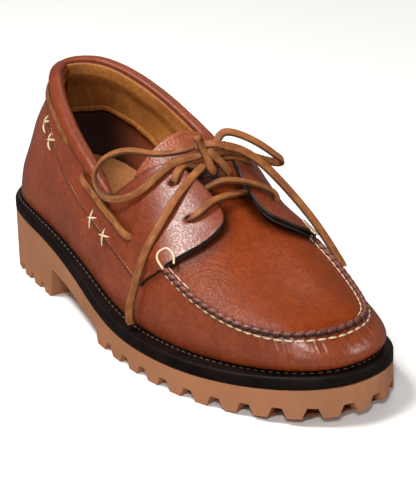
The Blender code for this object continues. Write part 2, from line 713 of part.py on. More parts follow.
def punch_holes(upper, quarter, cutters):
    eyelets = []
    side_holes = []
    for medial, side in ((False, "lateral"), (True, "medial")):
        for k, (station, height) in enumerate(EYELETS):
            name = f"eyelet_{side}_{k}"
            eyelets.append(hole_cutter(name, station, height, medial, EYELET_RADIUS, 6.0, 6.0, cutters))
        for k, (station, height) in enumerate(SIDE_HOLES):
            name = f"side_hole_{side}_{k}"
            side_holes.append(hole_cutter(name, station, height, medial, SIDE_HOLE_RADIUS, 0.2, 6.0, cutters))
    punched = joined_prisms("eyelet_punch", eyelets, cutters)
    side_punch = joined_prisms("side_hole_punch", side_holes, cutters)
    for thing, tools in ((upper, (punched,)), (quarter, (punched, side_punch))):
        for tool in tools:
            cut(thing, tool)
        apply_modifiers(thing)


def loft_ring(name, rings, finish, group):
    """Closed body from rings of equal count, with its two ends filled."""
    count = len(rings[0])
    faces = [list(range(count))[::-1], list(range((len(rings) - 1) * count, len(rings) * count))]
    for k in range(len(rings) - 1):
        for i in range(count):
            after = (i + 1) % count
            faces += two_triangles(k * count + i, k * count + after, (k + 1) * count + after, (k + 1) * count + i)
    return add_mesh(name, np.concatenate(rings), faces, finish, group)


def make_collar_roll(group):
    """Padded roll on the rim, from notch to notch round the heel, drawn in at its two ends."""
    side = list(np.linspace(0, 4.3, 20))
    path = [(station, True) for station in side[::-1]] + [(station, False) for station in side[1:]]
    turn = np.linspace(0, 2 * math.pi, 12, endpoint=False)
    rings = []
    for station, medial in path:
        point = key_line(np.asarray(station), medial)
        ahead = key_line(np.asarray(station + 0.02), medial)
        behind = key_line(np.asarray(max(station - 0.02, 0.0)), medial)
        along = unit((ahead - behind) * (1, 1, 0))
        outward = np.array((along[1], -along[0], 0)) * (-1.0 if medial else 1.0)
        if station == 0:
            outward = np.array((-1.0, 0, 0))
        size = 1 - 0.62 * float(np.clip((station - 3.75) / 0.55, 0, 1)) ** 1.5
        height = ROLL_HALF_HEIGHT * size
        middle = point - outward * ROLL_INSET + np.array((0, 0, FIT_GAP + 0.5 + height))
        rings.append([middle + outward * ROLL_HALF_WIDTH * size * math.cos(a) + np.array((0, 0, height * math.sin(a)))
                      for a in turn])
    return loft_ring("collar_roll", [np.array(ring) for ring in rings], "rust leather", group)


def make_tongue(group):
    """Tongue under the wings: it starts below the apron's rear edge and stands a little over the wings."""
    stations = np.linspace(6.05, 4.42, 13)
    edges = [1.50, 1.48, 1.46, 1.45, 1.44, 1.43, 1.43, 1.43, 1.44, 1.45, 1.42, 1.38, 1.52]
    points = []
    for station, edge in zip(stations, edges):
        for medial, heights in ((False, np.linspace(edge, 2, 6)), (True, np.linspace(2, edge, 6)[1:])):
            for height in heights:
                points.append(over_surface(np.asarray(station), np.asarray(min(height, 1.99)), medial, 0.0)
                              if height < 2 else crest(np.asarray(station)))
    across = 11
    faces = []
    for k in range(len(stations) - 1):
        for i in range(across - 1):
            a = k * across + i
            faces += two_triangles(a, a + 1, a + across + 1, a + across)
    work = bmesh.new()
    corners = [work.verts.new(p) for p in points]
    for face in faces:
        work.faces.new([corners[k] for k in face])
    bmesh.ops.recalc_face_normals(work, faces=work.faces)
    if sum(face.normal.z for face in work.faces) < 0:
        bmesh.ops.reverse_faces(work, faces=work.faces)
    work.normal_update()
    for corner in work.verts:
        corner.co = corner.co - corner.normal * (UPPER_WALL + FIT_GAP + TONGUE_PLAY)
    work.verts.index_update()
    sheet = ([tuple(v.co) for v in work.verts], [[v.index for v in f.verts] for f in work.faces])
    work.free()
    thing = add_mesh("tongue", sheet[0], sheet[1], "rust leather", group)
    if sum(face.normal.z for face in thing.data.polygons) < 0:
        thing.data.flip_normals()
    thicken = thing.modifiers.new("leather", "SOLIDIFY")
    thicken.thickness = TONGUE_THICK * 0.001
    thicken.offset = -1
    return thing


# ---------------------------------------------------------------- laces
def smooth_route(points, spacing):
    """Evenly spaced points on a smooth curve through a route's own points."""
    points = np.asarray(points, float)
    marks = np.linspace(0, len(points) - 1, 40 * len(points))
    dense = np.stack([spline(points[:, k], marks) for k in range(3)], -1)
    length = np.linalg.norm(np.diff(dense, axis=0), axis=1).sum()
    return resample(dense, max(4, int(round(length / spacing)) + 1))


def lace_tube(name, points, group, spacing=4.5):
    curve = bpy.data.curves.new(name, "CURVE")
    curve.dimensions = "3D"
    curve.bevel_depth = LACE_RADIUS * 0.001
    curve.bevel_resolution = 2
    curve.use_fill_caps = True
    line = curve.splines.new("POLY")
    places = to_metres(smooth_route(points, spacing))
    line.points.add(len(places) - 1)
    for knot, place in zip(line.points, places):
        knot.co = (*place, 1)
    thing = bpy.data.objects.new(name, curve)
    group.objects.link(thing)
    curve.materials.append(material("rawhide"))
    return thing


def tube_to_mesh(thing):
    depsgraph = bpy.context.evaluated_depsgraph_get()
    mesh = bpy.data.meshes.new_from_object(thing.evaluated_get(depsgraph))
    work = bmesh.new()
    work.from_mesh(mesh)
    bmesh.ops.remove_doubles(work, verts=work.verts, dist=1e-6)
    bmesh.ops.recalc_face_normals(work, faces=work.faces)
    work.to_mesh(mesh)
    work.free()
    solid = bpy.data.objects.new(thing.name + "_solid", mesh)
    solid.matrix_world = thing.matrix_world
    for group in thing.users_collection:
        group.objects.link(solid)
    name = thing.name
    bpy.data.objects.remove(thing, do_unlink=True)
    solid.name = name
    return solid


def crossing_route(medial):
    """From the lower eyelet of one wing over the middle and down under the other wing's edge."""
    start = EYELETS[0]
    over = OVERLAY + OVERLAY_GAP + FIT_GAP + LACE_RADIUS
    middle, end = (5.46, 5.36) if medial else (5.58, 5.50)
    first = over_surface(np.asarray(start[0]), np.asarray(start[1]), medial, over + 0.2)
    second = over_surface(np.asarray(start[0] + (0.0 if medial else 0.03)), np.asarray(1.70), medial, over + 1.0)
    third = crest(np.asarray(middle)) + (0, 0, 3.2)
    fourth = over_surface(np.asarray(end), np.asarray(1.88), not medial, 2.2)
    return [first, second, third, fourth]


def make_crossing(group):
    one = tube_to_mesh(lace_tube("lace_crossing", crossing_route(False), group, 5.0))
    two = tube_to_mesh(lace_tube("crossing_second", crossing_route(True), group, 5.0))
    join = one.modifiers.new("join", "BOOLEAN")
    join.operation = "UNION"
    join.solver = "EXACT"
    join.object = two
    apply_modifiers(one)
    bpy.data.objects.remove(two, do_unlink=True)
    return one


def make_upper_bar(group):
    """The lace between the two upper eyelets, which the knot sits on."""
    over = OVERLAY + OVERLAY_GAP + FIT_GAP + LACE_RADIUS
    station, height = EYELETS[1]
    ends = [over_surface(np.asarray(station), np.asarray(height), medial, over + 0.2) for medial in (False, True)]
    return lace_tube("lace_bar", [ends[0], *UPPER_BAR, ends[1]], group, 4.0)


def side_lace_route(medial):
    (first, low), (second, high) = SIDE_HOLES
    over = OVERLAY + OVERLAY_GAP + FIT_GAP + LACE_RADIUS + 0.25
    stations = np.linspace(first + 0.03, second - 0.03, 6)
    heights = np.linspace(low, high, 6)
    return [over_surface(np.asarray(s), np.asarray(h), medial, over) for s, h in zip(stations, heights)]


def heel_lace_route():
    """Round the heel in the groove under the roll, from one side to the other."""
    station, height = HEEL_LACE
    over = OVERLAY + OVERLAY_GAP + FIT_GAP + LACE_RADIUS + 0.40
    side = np.linspace(station, 0, 12)
    outer = [over_surface(np.asarray(s), np.asarray(height), False, over) for s in side]
    inner = [over_surface(np.asarray(s), np.asarray(height), True, over) for s in side[-2::-1]]
    return outer + inner


def make_knot(group):
    """The bow's knot as one closed body: a small ball drawn out sideways and pinched in the middle."""
    work = bmesh.new()
    bmesh.ops.create_uvsphere(work, u_segments=12, v_segments=8, radius=1.0)
    for corner in work.verts:
        pinch = 0.82 + 0.18 * math.cos(2 * math.pi * corner.co.y)
        corner.co.x *= KNOT_HALF[0] * pinch
        corner.co.y *= KNOT_HALF[1]
        corner.co.z *= KNOT_HALF[2] * pinch
        corner.co = [a + b for a, b in zip(corner.co, KNOT)]
    points = [tuple(v.co) for v in work.verts]
    work.verts.index_update()
    faces = [[v.index for v in f.verts] for f in work.faces]
    work.free()
    return add_mesh("lace_knot", points, faces, "rawhide", group)


def make_laces(group):
    make_crossing(group)
    make_upper_bar(group)
    for medial, side in ((False, "lateral"), (True, "medial")):
        lace_tube(f"lace_side_{side}", side_lace_route(medial), group)
    lace_tube("lace_heel", heel_lace_route(), group)
    make_knot(group)
    for name, route in ROUTES.items():
        lace_tube(name, route, group)


def build():
    clear_scene()
    parts = new_collection(SHOE)
    cutters = new_collection("cutters")
    make_outsole(parts, cutters)
    make_midsole(parts)
    make_insole(parts)
    net = Net()
    upper = make_upper(net, parts)
    quarter = make_quarter(net, parts)
    punch_holes(upper, quarter, cutters)
    make_collar_roll(parts)
    make_tongue(parts)
    make_laces(parts)


build()
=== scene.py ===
# %% [markdown]
# # A moc-toe boat shoe for the right foot
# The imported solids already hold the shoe's true sizes. This lesson loads them as a fixed frame and dresses
# them piece by piece: rubber sole, welted midsole, leather wrap, apron, quarter, padded collar, tongue,
# seams and rawhide laces. Lengths in the tables are millimetres in the shoe's own frame: x from the heel's
# back to the toe, y from the outer side (negative) to the inner side, z up from the ground.

# %% Load the frame
import math
import bpy
import numpy as np
from mathutils import Matrix, Vector, noise


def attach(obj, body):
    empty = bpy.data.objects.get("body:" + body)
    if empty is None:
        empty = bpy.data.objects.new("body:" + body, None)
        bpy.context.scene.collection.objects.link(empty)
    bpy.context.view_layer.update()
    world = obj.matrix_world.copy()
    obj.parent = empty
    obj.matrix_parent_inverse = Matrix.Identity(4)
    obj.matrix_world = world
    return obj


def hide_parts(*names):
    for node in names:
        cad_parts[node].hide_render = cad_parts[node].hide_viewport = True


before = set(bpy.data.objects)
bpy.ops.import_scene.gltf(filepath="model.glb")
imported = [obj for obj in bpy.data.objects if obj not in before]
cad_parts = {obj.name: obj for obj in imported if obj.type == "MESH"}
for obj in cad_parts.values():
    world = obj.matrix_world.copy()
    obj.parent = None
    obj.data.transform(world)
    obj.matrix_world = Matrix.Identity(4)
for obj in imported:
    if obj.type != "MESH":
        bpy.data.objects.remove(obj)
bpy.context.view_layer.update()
scene = bpy.context.scene
print("solids", sorted(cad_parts))

# %% [markdown]
# ## Camera
# A shoe is shown from its outer toe corner, a little above. A long lens from well back keeps the toe from
# looking swollen. The camera's three axes are built from its place, its target and a small roll.

# %% Camera
CENTRE = np.array((150.5, 2.272, 0.0))      # the frame's zero, in the shoe's own millimetres
CAMERA_PLACE = (1207.353, -609.401, 525.408)
CAMERA_TARGET = (179.118, 0.0, 56.85)
CAMERA_ROLL = -0.0335
CAMERA_LENS = 189.0


def metres(points):
    """Points of the shoe's own millimetres, in the frame's metres."""
    return (np.asarray(points, float) - CENTRE) * 0.001


def unit(vectors):
    """The same directions, each one unit long."""
    return vectors / np.maximum(np.linalg.norm(vectors, axis=-1, keepdims=True), 1e-12)


lens = bpy.data.cameras.new("camera")
lens.lens = CAMERA_LENS
camera = bpy.data.objects.new("camera", lens)
scene.collection.objects.link(camera)
ahead = unit(metres(CAMERA_TARGET) - metres(CAMERA_PLACE))
level = unit(np.cross(ahead, (0, 0, 1)))
right = math.cos(CAMERA_ROLL) * level + math.sin(CAMERA_ROLL) * np.cross(level, ahead)
turn = Matrix(np.stack([right, np.cross(right, ahead), -ahead], 1).tolist())
camera.matrix_world = Matrix.Translation(metres(CAMERA_PLACE).tolist()) @ turn.to_4x4()
scene.camera = camera
print("camera stands", round(float(np.linalg.norm(metres(CAMERA_PLACE))), 2), "m from the shoe")

# %% [markdown]
# ## Light and floor
# Leather shows its grain in soft, broad reflections, so area lights stand round the shoe: a key high over
# the outer side, a small front lamp that draws the bright spot on the toe, two low cards and a weak lamp
# behind. The pale floor throws light back up but is not mirrored. View transform Standard keeps the browns.

# %% Light and floor
LIT_SPOT = (0.0, 0.0, 0.04)                 # every lamp looks at the middle of the shoe
WORLD_COLOUR, WORLD_STRENGTH = (0.975, 0.985, 1.0, 1), 0.16
LIGHTS = {  # name: (place in metres, size, watts, colour)
    "key": ((-0.22, -0.53, 1.28), 0.45, 18.5, (1.0, 0.98, 0.94)),
    "low_left": ((1.33, -1.48, 0.24), 0.6, 7.0, (1.0, 0.99, 0.98)),
    "front": ((1.34, -0.86, 1.22), 0.25, 17.0, (1.0, 0.985, 0.965)),
    "low_right": ((1.22, 1.22, 0.53), 0.8, 8.0, (1.0, 0.99, 0.98)),
    "behind": ((-0.90, 0.90, 1.30), 0.7, 3.5, (1.0, 0.99, 0.98)),
}
scene.view_settings.view_transform = "Standard"
for name, (place, size, watts, colour) in LIGHTS.items():
    lamp = bpy.data.lights.new(name, "AREA")
    lamp.shape, lamp.size, lamp.energy, lamp.color = "DISK", size, watts, colour
    light = bpy.data.objects.new(name, lamp)
    light.location = place
    light.rotation_euler = (Vector(LIT_SPOT) - Vector(place)).to_track_quat("-Z", "Y").to_euler()
    scene.collection.objects.link(light)
world = bpy.data.worlds.new("world")
world.use_nodes = True
world.node_tree.nodes["Background"].inputs["Color"].default_value = WORLD_COLOUR
world.node_tree.nodes["Background"].inputs["Strength"].default_value = WORLD_STRENGTH
scene.world = world
print("lights", list(LIGHTS))

# %% [markdown]
# ## The last
# Every leather piece lies on the last, the form of the foot. A row of the table is one section, from heel
# to toe: half widths of the sole, how far the leather's lower edge stands inside it, the line of the collar
# and apron seam (key), how far the wall swells, and the ridge over the foot (crest). A smooth curve through
# each column gives every section between.

# %% The last's table
LAST_COLUMNS = ("x", "lateral", "medial", "inset", "key_x", "key_lateral", "key_medial", "key_z", "bulge",
                "crest_x", "crest_y", "crest_z")
LAST_ROWS = {
    "heel back": (0.0, 0.3, -0.3, 3.0, 20.0, -2.0, 2.0, 102.6, 0.8, 64.0, 2.0, 150.0),
    "heel corner": (12.0, 24.1, 25.1, 3.2, 28.0, 3.6, 9.0, 104.6, -1.0, 68.0, 1.6, 150.0),
    "heel side": (40.0, 35.1, 36.0, 4.0, 49.0, 16.6, 20.9, 105.2, 0.8, 80.0, 1.2, 148.0),
    "waist rear": (85.0, 40.1, 33.0, 5.0, 86.5, 30.0, 32.8, 95.0, 2.5, 103.0, 0.8, 138.0),
    "waist": (130.0, 46.7, 35.0, 7.0, 131.0, 36.2, 38.5, 78.7, 3.0, 137.0, 1.0, 121.0),
    "instep": (180.0, 51.4, 47.1, 8.2, 177.0, 39.5, 40.5, 67.0, 3.0, 176.0, 2.5, 98.0),
    "ball": (225.0, 47.6, 55.8, 8.5, 220.0, 41.0, 42.5, 55.0, 3.0, 210.0, 3.5, 77.0),
    "toe side": (262.0, 35.3, 51.5, 7.9, 257.0, 34.0, 37.0, 46.6, 4.3, 234.0, 4.0, 65.0),
    "toe corner": (290.0, 17.8, 35.4, 7.2, 282.5, 18.5, 24.5, 44.8, 5.1, 250.0, 4.5, 59.0),
    "toe": (301.0, -6.4, 6.4, 6.9, 290.0, -4.0, 4.0, 44.3, 4.9, 255.0, 4.5, 57.5),
}
GUM_TOP = ((0, 33.5), (60, 31.5), (110, 24.4), (160, 14.3), (215, 13.3), (260, 15.5), (302, 20.5))
RIM_RISE = ((0, 0), (1, 2.0), (2, 2.2), (3, 0.8), (4, 0), (9, 0))    # how much higher the inner side's rim is
TOE = len(LAST_ROWS) - 1                    # station of the toe; the heel's back is station 0
LOOP = 2 * TOE                              # places on the loop round the shoe, from heel to heel
SOLE_LENGTH = 302.0
MIDSOLE_THICK = 7.0
FIT_GAP = 0.3
UPPER_WALL = 2.0
OVERLAY, OVERLAY_GAP = 1.7, 0.35            # the quarter's thickness, and its distance from the wrap
FRONT, NOTCH, APRON_REAR = 5.6, 4.38, 5.36  # stations: quarter's front, where collar meets wing, apron's rear
SHOE_MIDDLE = np.array((150.0, 0.0, 45.0))  # a place inside, which every face side looks away from
UP = np.array((0, 0, 1.0))


def hermite(start, end, start_slope, end_slope, t):
    """Cubic curve from start to end with given slopes, at t from 0 to 1."""
    return ((2 * t ** 3 - 3 * t ** 2 + 1) * start + (t ** 3 - 2 * t ** 2 + t) * start_slope
            + (3 * t ** 2 - 2 * t ** 3) * end + (t ** 3 - t ** 2) * end_slope)


def spline(values, station):
    """Natural cubic curve through values at stations 0, 1, 2 ..."""
    values = np.asarray(values, float)
    count = len(values)
    system = 4 * np.eye(count) + np.eye(count, k=1) + np.eye(count, k=-1)
    system[0, 0] = system[-1, -1] = 2
    padded = np.concatenate([values[:1], values, values[-1:]])
    slopes = np.linalg.solve(system, 3 * (padded[2:] - padded[:-2]))
    station = np.asarray(station, float)
    i = np.clip(np.floor(station).astype(int), 0, count - 2)
    return hermite(values[i], values[i + 1], slopes[i], slopes[i + 1], station - i)


def profile(table, x):
    """Smooth curve through a table of pairs, with the mean of the two slopes at each pair."""
    xs, zs = np.array(table, float).T
    steps = np.diff(zs) / np.diff(xs)
    slopes = np.concatenate([steps[:1], (steps[1:] + steps[:-1]) / 2, steps[-1:]])
    x = np.asarray(x, float)
    i = np.clip(np.searchsorted(xs, x, side="right") - 1, 0, len(xs) - 2)
    width = xs[i + 1] - xs[i]
    t = np.clip((x - xs[i]) / width, 0, 1)
    return hermite(zs[i], zs[i + 1], slopes[i] * width, slopes[i + 1] * width, t)


def last_column(name):
    """One column of the last's table, from heel to toe."""
    return np.array([row[LAST_COLUMNS.index(name)] for row in LAST_ROWS.values()])


# %% The last as a surface
outer_corners = np.stack([last_column("x"), -last_column("lateral")], -1)
inner_corners = np.stack([last_column("x"), last_column("medial")], -1)
KNOTS = np.concatenate([outer_corners, inner_corners[-2:0:-1]])
ring = 4 * np.eye(len(KNOTS)) + np.roll(np.eye(len(KNOTS)), 1, 0) + np.roll(np.eye(len(KNOTS)), -1, 0)
KNOT_SLOPES = np.linalg.solve(ring, 3 * (np.roll(KNOTS, -1, 0) - np.roll(KNOTS, 1, 0)))


def outline(station, medial):
    """Point of the sole's outline at a station of one side, and the direction inwards from it."""
    place = np.mod(np.where(medial, LOOP - np.asarray(station, float), station), LOOP)
    i = np.floor(place).astype(int)
    t = (place - i)[..., None]
    after = (i + 1) % len(KNOTS)
    sides = KNOTS[i], KNOTS[after], KNOT_SLOPES[i], KNOT_SLOPES[after]
    point = hermite(*sides, t)
    along = unit(hermite(*sides, t + 1e-4) - point)
    return point, np.stack([-along[..., 1], along[..., 0]], -1)


def gum_top(x):
    """Height of the rubber's top face."""
    return profile(GUM_TOP, np.clip(x, 0, SOLE_LENGTH))


def feather(station, medial):
    """Lower edge of the leather, where it stands on the midsole."""
    point, inward = outline(station, medial)
    plan = point + inward * spline(last_column("inset"), station)[..., None]
    return np.concatenate([plan, (gum_top(plan[..., 0]) + MIDSOLE_THICK + FIT_GAP + 0.25)[..., None]], -1)


def key_line(station, medial):
    """Collar rim behind the throat, apron seam before it."""
    inner, outer = spline(last_column("key_medial"), station), spline(last_column("key_lateral"), station)
    y = np.where(medial, inner, -outer)
    z = spline(last_column("key_z"), station) + np.where(medial, profile(RIM_RISE, station), 0)
    return np.stack([spline(last_column("key_x"), station), y, z], -1)


def crest(station):
    """Ridge over the foot."""
    return np.stack([spline(last_column(name), station) for name in ("crest_x", "crest_y", "crest_z")], -1)


def last_surface(station, height, medial):
    """Outer face of the upper: height runs 0 to 1 up the wall to the key line and 1 to 2 on to the crest."""
    station, height, medial = np.broadcast_arrays(np.asarray(station, float), np.asarray(height, float), medial)
    low, key, top = feather(station, medial), key_line(station, medial), crest(station)
    outward = np.concatenate([-outline(station, medial)[1], np.zeros(station.shape + (1,))], -1)
    swell = outward * spline(last_column("bulge"), station)[..., None]
    lean, rise = (key - low) * (1, 1, 0), (key - low) * (0, 0, 1)
    t = np.clip(height, 0, 1)[..., None]
    wall = low + lean * t ** 1.8 + rise * t + swell * np.sin(math.pi * t ** 0.75)
    soft = np.clip(FRONT + 0.3 - station, 0, 1)[..., None]
    wall_end = unit(lean * 1.8 + rise - swell * 0.75 * math.pi)
    apron_start = unit(unit(top - key) + (0, 0, 0.22))
    span = np.linalg.norm(top - key, axis=-1, keepdims=True)
    start = unit(wall_end * soft + apron_start * (1 - soft)) * span * (1 + 0.15 * soft)
    end = unit((top - key) * (1, 1, 0)) * span * 0.8
    cap = hermite(key, top, start, end, np.clip(height - 1, 0, 1)[..., None])
    return np.where(height[..., None] <= 1, wall, cap)


def surface_normal(station, height, medial):
    """Direction outwards from the upper's outer face."""
    step = 0.01
    along = last_surface(station + step, height, medial) - last_surface(station - step, height, medial)
    up = last_surface(station, height + step, medial) - last_surface(station, height - step, medial)
    return unit(np.cross(along, up) * np.where(medial, -1.0, 1.0)[..., None])


def over_surface(station, height, medial, offset):
    """Points at a distance outside the upper's outer face."""
    station, height, medial = np.broadcast_arrays(np.asarray(station, float), np.asarray(height, float), medial)
    return last_surface(station, height, medial) + surface_normal(station, height, medial) * offset


print("length at the seam", round(float(key_line(TOE, False)[0] - key_line(0.0, False)[0]), 1), "mm")

# %% [markdown]
# ## Mixing the finishes
# One small helper builds every material from a chain of nodes. The scene's units are metres, so a mapping
# turns the object's own coordinates into millimetres first: a grain of 1.1 is then a grain of 1.1 mm.

# %% Material helpers
class Finish:
    """A material under construction: nodes are added by name and joined as they are made."""

    def __init__(self, name, roughness, specular):
        self.material = bpy.data.materials.new(name)
        self.material.use_nodes = True
        self.tree = self.material.node_tree
        self.shader = self.tree.nodes["Principled BSDF"]
        self.shader.inputs["Roughness"].default_value = roughness
        self.shader.inputs["Specular IOR Level"].default_value = specular
        place = self.tree.nodes.new("ShaderNodeTexCoord").outputs["Object"]
        self.place = self.stretch(place, (1000, 1000, 1000))

    def join(self, socket, value):
        """Links another node's output to a socket, or sets a plain number or colour on it."""
        if isinstance(value, bpy.types.NodeSocket):
            self.tree.links.new(value, socket)
        elif isinstance(value, (tuple, list)) and len(value) == 3 and len(socket.default_value) == 4:
            socket.default_value = (*value, 1)
        else:
            socket.default_value = value

    def stretch(self, place, scale):
        """Coordinates scaled along each axis."""
        node = self.tree.nodes.new("ShaderNodeMapping")
        node.inputs["Scale"].default_value = scale
        self.join(node.inputs["Vector"], place)
        return node.outputs["Vector"]

    def noise(self, size, detail=2.0, rough=0.5, place=None):
        """Soft random clouds, with lumps of about a size in millimetres."""
        node = self.tree.nodes.new("ShaderNodeTexNoise")
        node.inputs["Scale"].default_value = 1.0 / size
        node.inputs["Detail"].default_value = detail
        node.inputs["Roughness"].default_value = rough
        self.join(node.inputs["Vector"], self.place if place is None else place)
        return node.outputs["Fac"]

    def cells(self, size):
        """Distance from the middle of the nearest of many rounded cells, each about a size across."""
        node = self.tree.nodes.new("ShaderNodeTexVoronoi")
        node.feature = "SMOOTH_F1"
        node.inputs["Scale"].default_value = 1.0 / size
        self.join(node.inputs["Vector"], self.place)
        return node.outputs["Distance"]

    def range(self, value, low, high, start=0.0, end=1.0):
        """Stretches the values between low and high over start to end, and cuts off the rest."""
        node = self.tree.nodes.new("ShaderNodeMapRange")
        self.join(node.inputs["Value"], value)
        for name, number in (("From Min", low), ("From Max", high), ("To Min", start), ("To Max", end)):
            node.inputs[name].default_value = number
        return node.outputs["Result"]

    def combine(self, operation, first, second):
        """Two values added or multiplied."""
        node = self.tree.nodes.new("ShaderNodeMath")
        node.operation = operation
        self.join(node.inputs[0], first)
        self.join(node.inputs[1], second)
        return node.outputs[0]

    def blend(self, factor, first, second):
        """The first colour where the factor is 0, the second where it is 1."""
        node = self.tree.nodes.new("ShaderNodeMix")
        node.data_type = "RGBA"                 # its colour sockets are numbers 6 and 7, its colour output 2
        self.join(node.inputs[0], factor)
        self.join(node.inputs[6], first)
        self.join(node.inputs[7], second)
        return node.outputs[2]

    def mark(self, name, kind="Fac"):
        """A value, or with kind Vector three, that the piece carries on its points."""
        node = self.tree.nodes.new("ShaderNodeAttribute")
        node.attribute_name = name
        return node.outputs[kind]

    def bump(self, height, depth_mm, strength, under=None):
        """Relief in the light from a height, over another relief where one is given."""
        node = self.tree.nodes.new("ShaderNodeBump")
        node.inputs["Distance"].default_value = depth_mm * 0.001
        node.inputs["Strength"].default_value = strength
        self.join(node.inputs["Height"], height)
        if under is not None:
            self.join(node.inputs["Normal"], under)
        return node.outputs["Normal"]

    def paint(self, colour, roughness=None, normal=None):
        """Joins what was mixed to the shader and gives the finished material."""
        for name, value in (("Base Color", colour), ("Roughness", roughness), ("Normal", normal)):
            if value is not None:
                self.join(self.shader.inputs[name], value)
        return self.material


def darker(colour, share):
    """A share of a colour."""
    return tuple(share * value for value in colour)


print("finish helper ready")

# %% [markdown]
# ## Oiled full-grain leather
# The upper is soft rust leather with a pebbled grain: rounded cells of about a millimetre with narrow
# valleys between, finer grain inside them, wrinkles of two millimetres over them, and a waxy sheen. Rubbing
# lightens the high places and the dye stays darker in the valleys and beside the seams. Cells of a Voronoi
# pattern give the pebbles, noise breaks them up. A piece carries three marks on its points: tone is where it
# is darker, from dye beside seams and edges or from painted shade in hollows and under other parts, gather
# where it is puckered, and lie the direction that its fine folds follow.

# %% Leather
def full_grain(name, colour, dark, pale, pebble, depth, roughness, specular=0.28):
    """Full-grain leather: pebble is the size of its grain and depth how deep that is, in millimetres."""
    finish = Finish(name, roughness, specular)
    pebbles = finish.range(finish.cells(pebble), 0.05, 0.62)
    fine = finish.noise(0.35, 3.0)
    clouds = finish.noise(22.0, 3.0, 0.55)
    blotch = finish.noise(5.0, 4.0, 0.6)
    wrinkles = finish.noise(2.3, 3.0, 0.62)
    relief = finish.bump(finish.combine("MULTIPLY", pebbles, -1.0), depth, 0.85)
    relief = finish.bump(fine, 0.03, 0.6, relief)
    relief = finish.bump(wrinkles, 0.11, 1.0, relief)
    folds = finish.noise(1.5, 2.0, 0.45, finish.stretch(finish.mark("lie", "Vector"), (1.0, 0.13, 1.0)))
    relief = finish.bump(finish.combine("MULTIPLY", folds, finish.mark("gather")), 0.8, 1.0, relief)
    mixed = finish.blend(finish.range(clouds, 0.3, 0.7), dark, colour)
    mixed = finish.blend(finish.range(blotch, 0.52, 0.8, 0.0, 0.45), mixed, pale)
    mixed = finish.blend(finish.range(pebbles, 0.5, 1.0, 0.0, 0.3), mixed, darker(dark, 0.75))
    mixed = finish.blend(finish.range(wrinkles, 0.49, 0.60, 0.0, 0.5), mixed, darker(dark, 0.75))
    # the tone mark darkens: dye beside seams and edges on some pieces, painted shade on others
    mixed = finish.blend(finish.range(finish.mark("tone"), 0.0, 1.0), mixed, darker(dark, 0.22))
    sheen = finish.range(finish.combine("ADD", blotch, pebbles), 0.5, 1.4, roughness - 0.08, roughness + 0.12)
    return finish.paint(mixed, sheen, relief)


RUST, RUST_DARK, RUST_PALE = (0.262, 0.046, 0.008), (0.182, 0.028, 0.005), (0.345, 0.076, 0.019)
wrap_leather = full_grain("wrap_leather", RUST, RUST_DARK, RUST_PALE,
                          pebble=1.1, depth=0.045, roughness=0.27, specular=0.6)
apron_leather = full_grain("apron_leather", (0.255, 0.042, 0.006), (0.187, 0.029, 0.004), (0.33, 0.070, 0.016),
                           pebble=1.0, depth=0.06, roughness=0.36, specular=0.13)
quarter_leather = full_grain("quarter_leather", (0.235, 0.038, 0.007), (0.158, 0.023, 0.004), RUST_PALE,
                             pebble=0.95, depth=0.032, roughness=0.33, specular=0.6)
roll_leather = full_grain("roll_leather", (0.250, 0.044, 0.009), (0.175, 0.027, 0.005), (0.33, 0.076, 0.022),
                          pebble=1.1, depth=0.07, roughness=0.38, specular=0.3)
tongue_leather = full_grain("tongue_leather", (0.36, 0.082, 0.024), (0.25, 0.050, 0.014), (0.46, 0.15, 0.070),
                            pebble=1.3, depth=0.13, roughness=0.34, specular=0.4)
print("face leathers", [material.name for material in bpy.data.materials if "leather" in material.name])


# %% Cut edges and flesh side
def cut_edge(name, colour, roughness=0.55):
    """Raw leather, an edge or the flesh side, with fibres in it. The mark named deep is where painted shade
    makes it nearly black.
    """
    finish = Finish(name, roughness, 0.4)
    fibres = finish.noise(0.6, 4.0, 0.6)
    mixed = finish.blend(finish.range(fibres, 0.35, 0.7), darker(colour, 0.5), colour)
    mixed = finish.blend(finish.range(finish.mark("deep"), 0.0, 1.0), mixed, darker(colour, 0.05))
    return finish.paint(mixed, None, finish.bump(fibres, 0.12, 0.7))


dark_edge = cut_edge("dark_edge", (0.020, 0.008, 0.005))
inner_leather = cut_edge("inner_leather", (0.42, 0.095, 0.030), 0.7)
print("raw leathers", [dark_edge.name, inner_leather.name])

# %% [markdown]
# ## Turning a grid into leather
# A leather piece is a grid of points on the last. The helper joins the grid into faces, finds the direction
# outwards, and makes an outer skin, an inner skin and a rounded cut edge between them wherever the grid has
# a border, round punched holes too. A closed shell throws correct shadows and shows its thickness.

# %% Faces, directions and distances
def grid_faces(across, along, closed=False, numbers=None):
    """Quads of a grid whose points are numbered row by row. A closed one joins its last row to its first."""
    numbers = np.arange(across * along).reshape(across, along) if numbers is None else numbers
    i = np.arange(across if closed else across - 1)
    j = np.arange(along - 1)
    i, j = (g.ravel() for g in np.meshgrid(i, j, indexing="ij"))
    after = (i + 1) % across
    return np.stack([numbers[i, j], numbers[after, j], numbers[after, j + 1], numbers[i, j + 1]], 1)


def tube_faces(rings, sides):
    """Quads of a tube made of rings, and a cap at each end."""
    numbers = np.arange(rings * sides).reshape(rings, sides)
    looped = np.concatenate([numbers, numbers[:, :1]], 1)
    caps = [numbers[0][::-1].tolist(), numbers[-1].tolist()]
    return grid_faces(rings, sides + 1, False, looped).tolist() + caps


def point_normals(points, faces):
    """Mean direction of the faces round each point."""
    a, b, c, d = (points[faces[:, k]] for k in range(4))
    facing = np.cross(c - a, d - b)
    normals = np.zeros_like(points)
    for k in range(4):
        np.add.at(normals, faces[:, k], facing)
    return unit(normals)


def distances(points):
    """How far along a run of points each one lies."""
    return np.concatenate([[0], np.cumsum(np.linalg.norm(np.diff(points, axis=0), axis=1))])


def rows_at(marks, arc, values):
    """Rows of values at the distances marks, from those at the distances arc."""
    return np.stack([np.interp(marks, arc, values[:, k]) for k in range(values.shape[1])], -1)


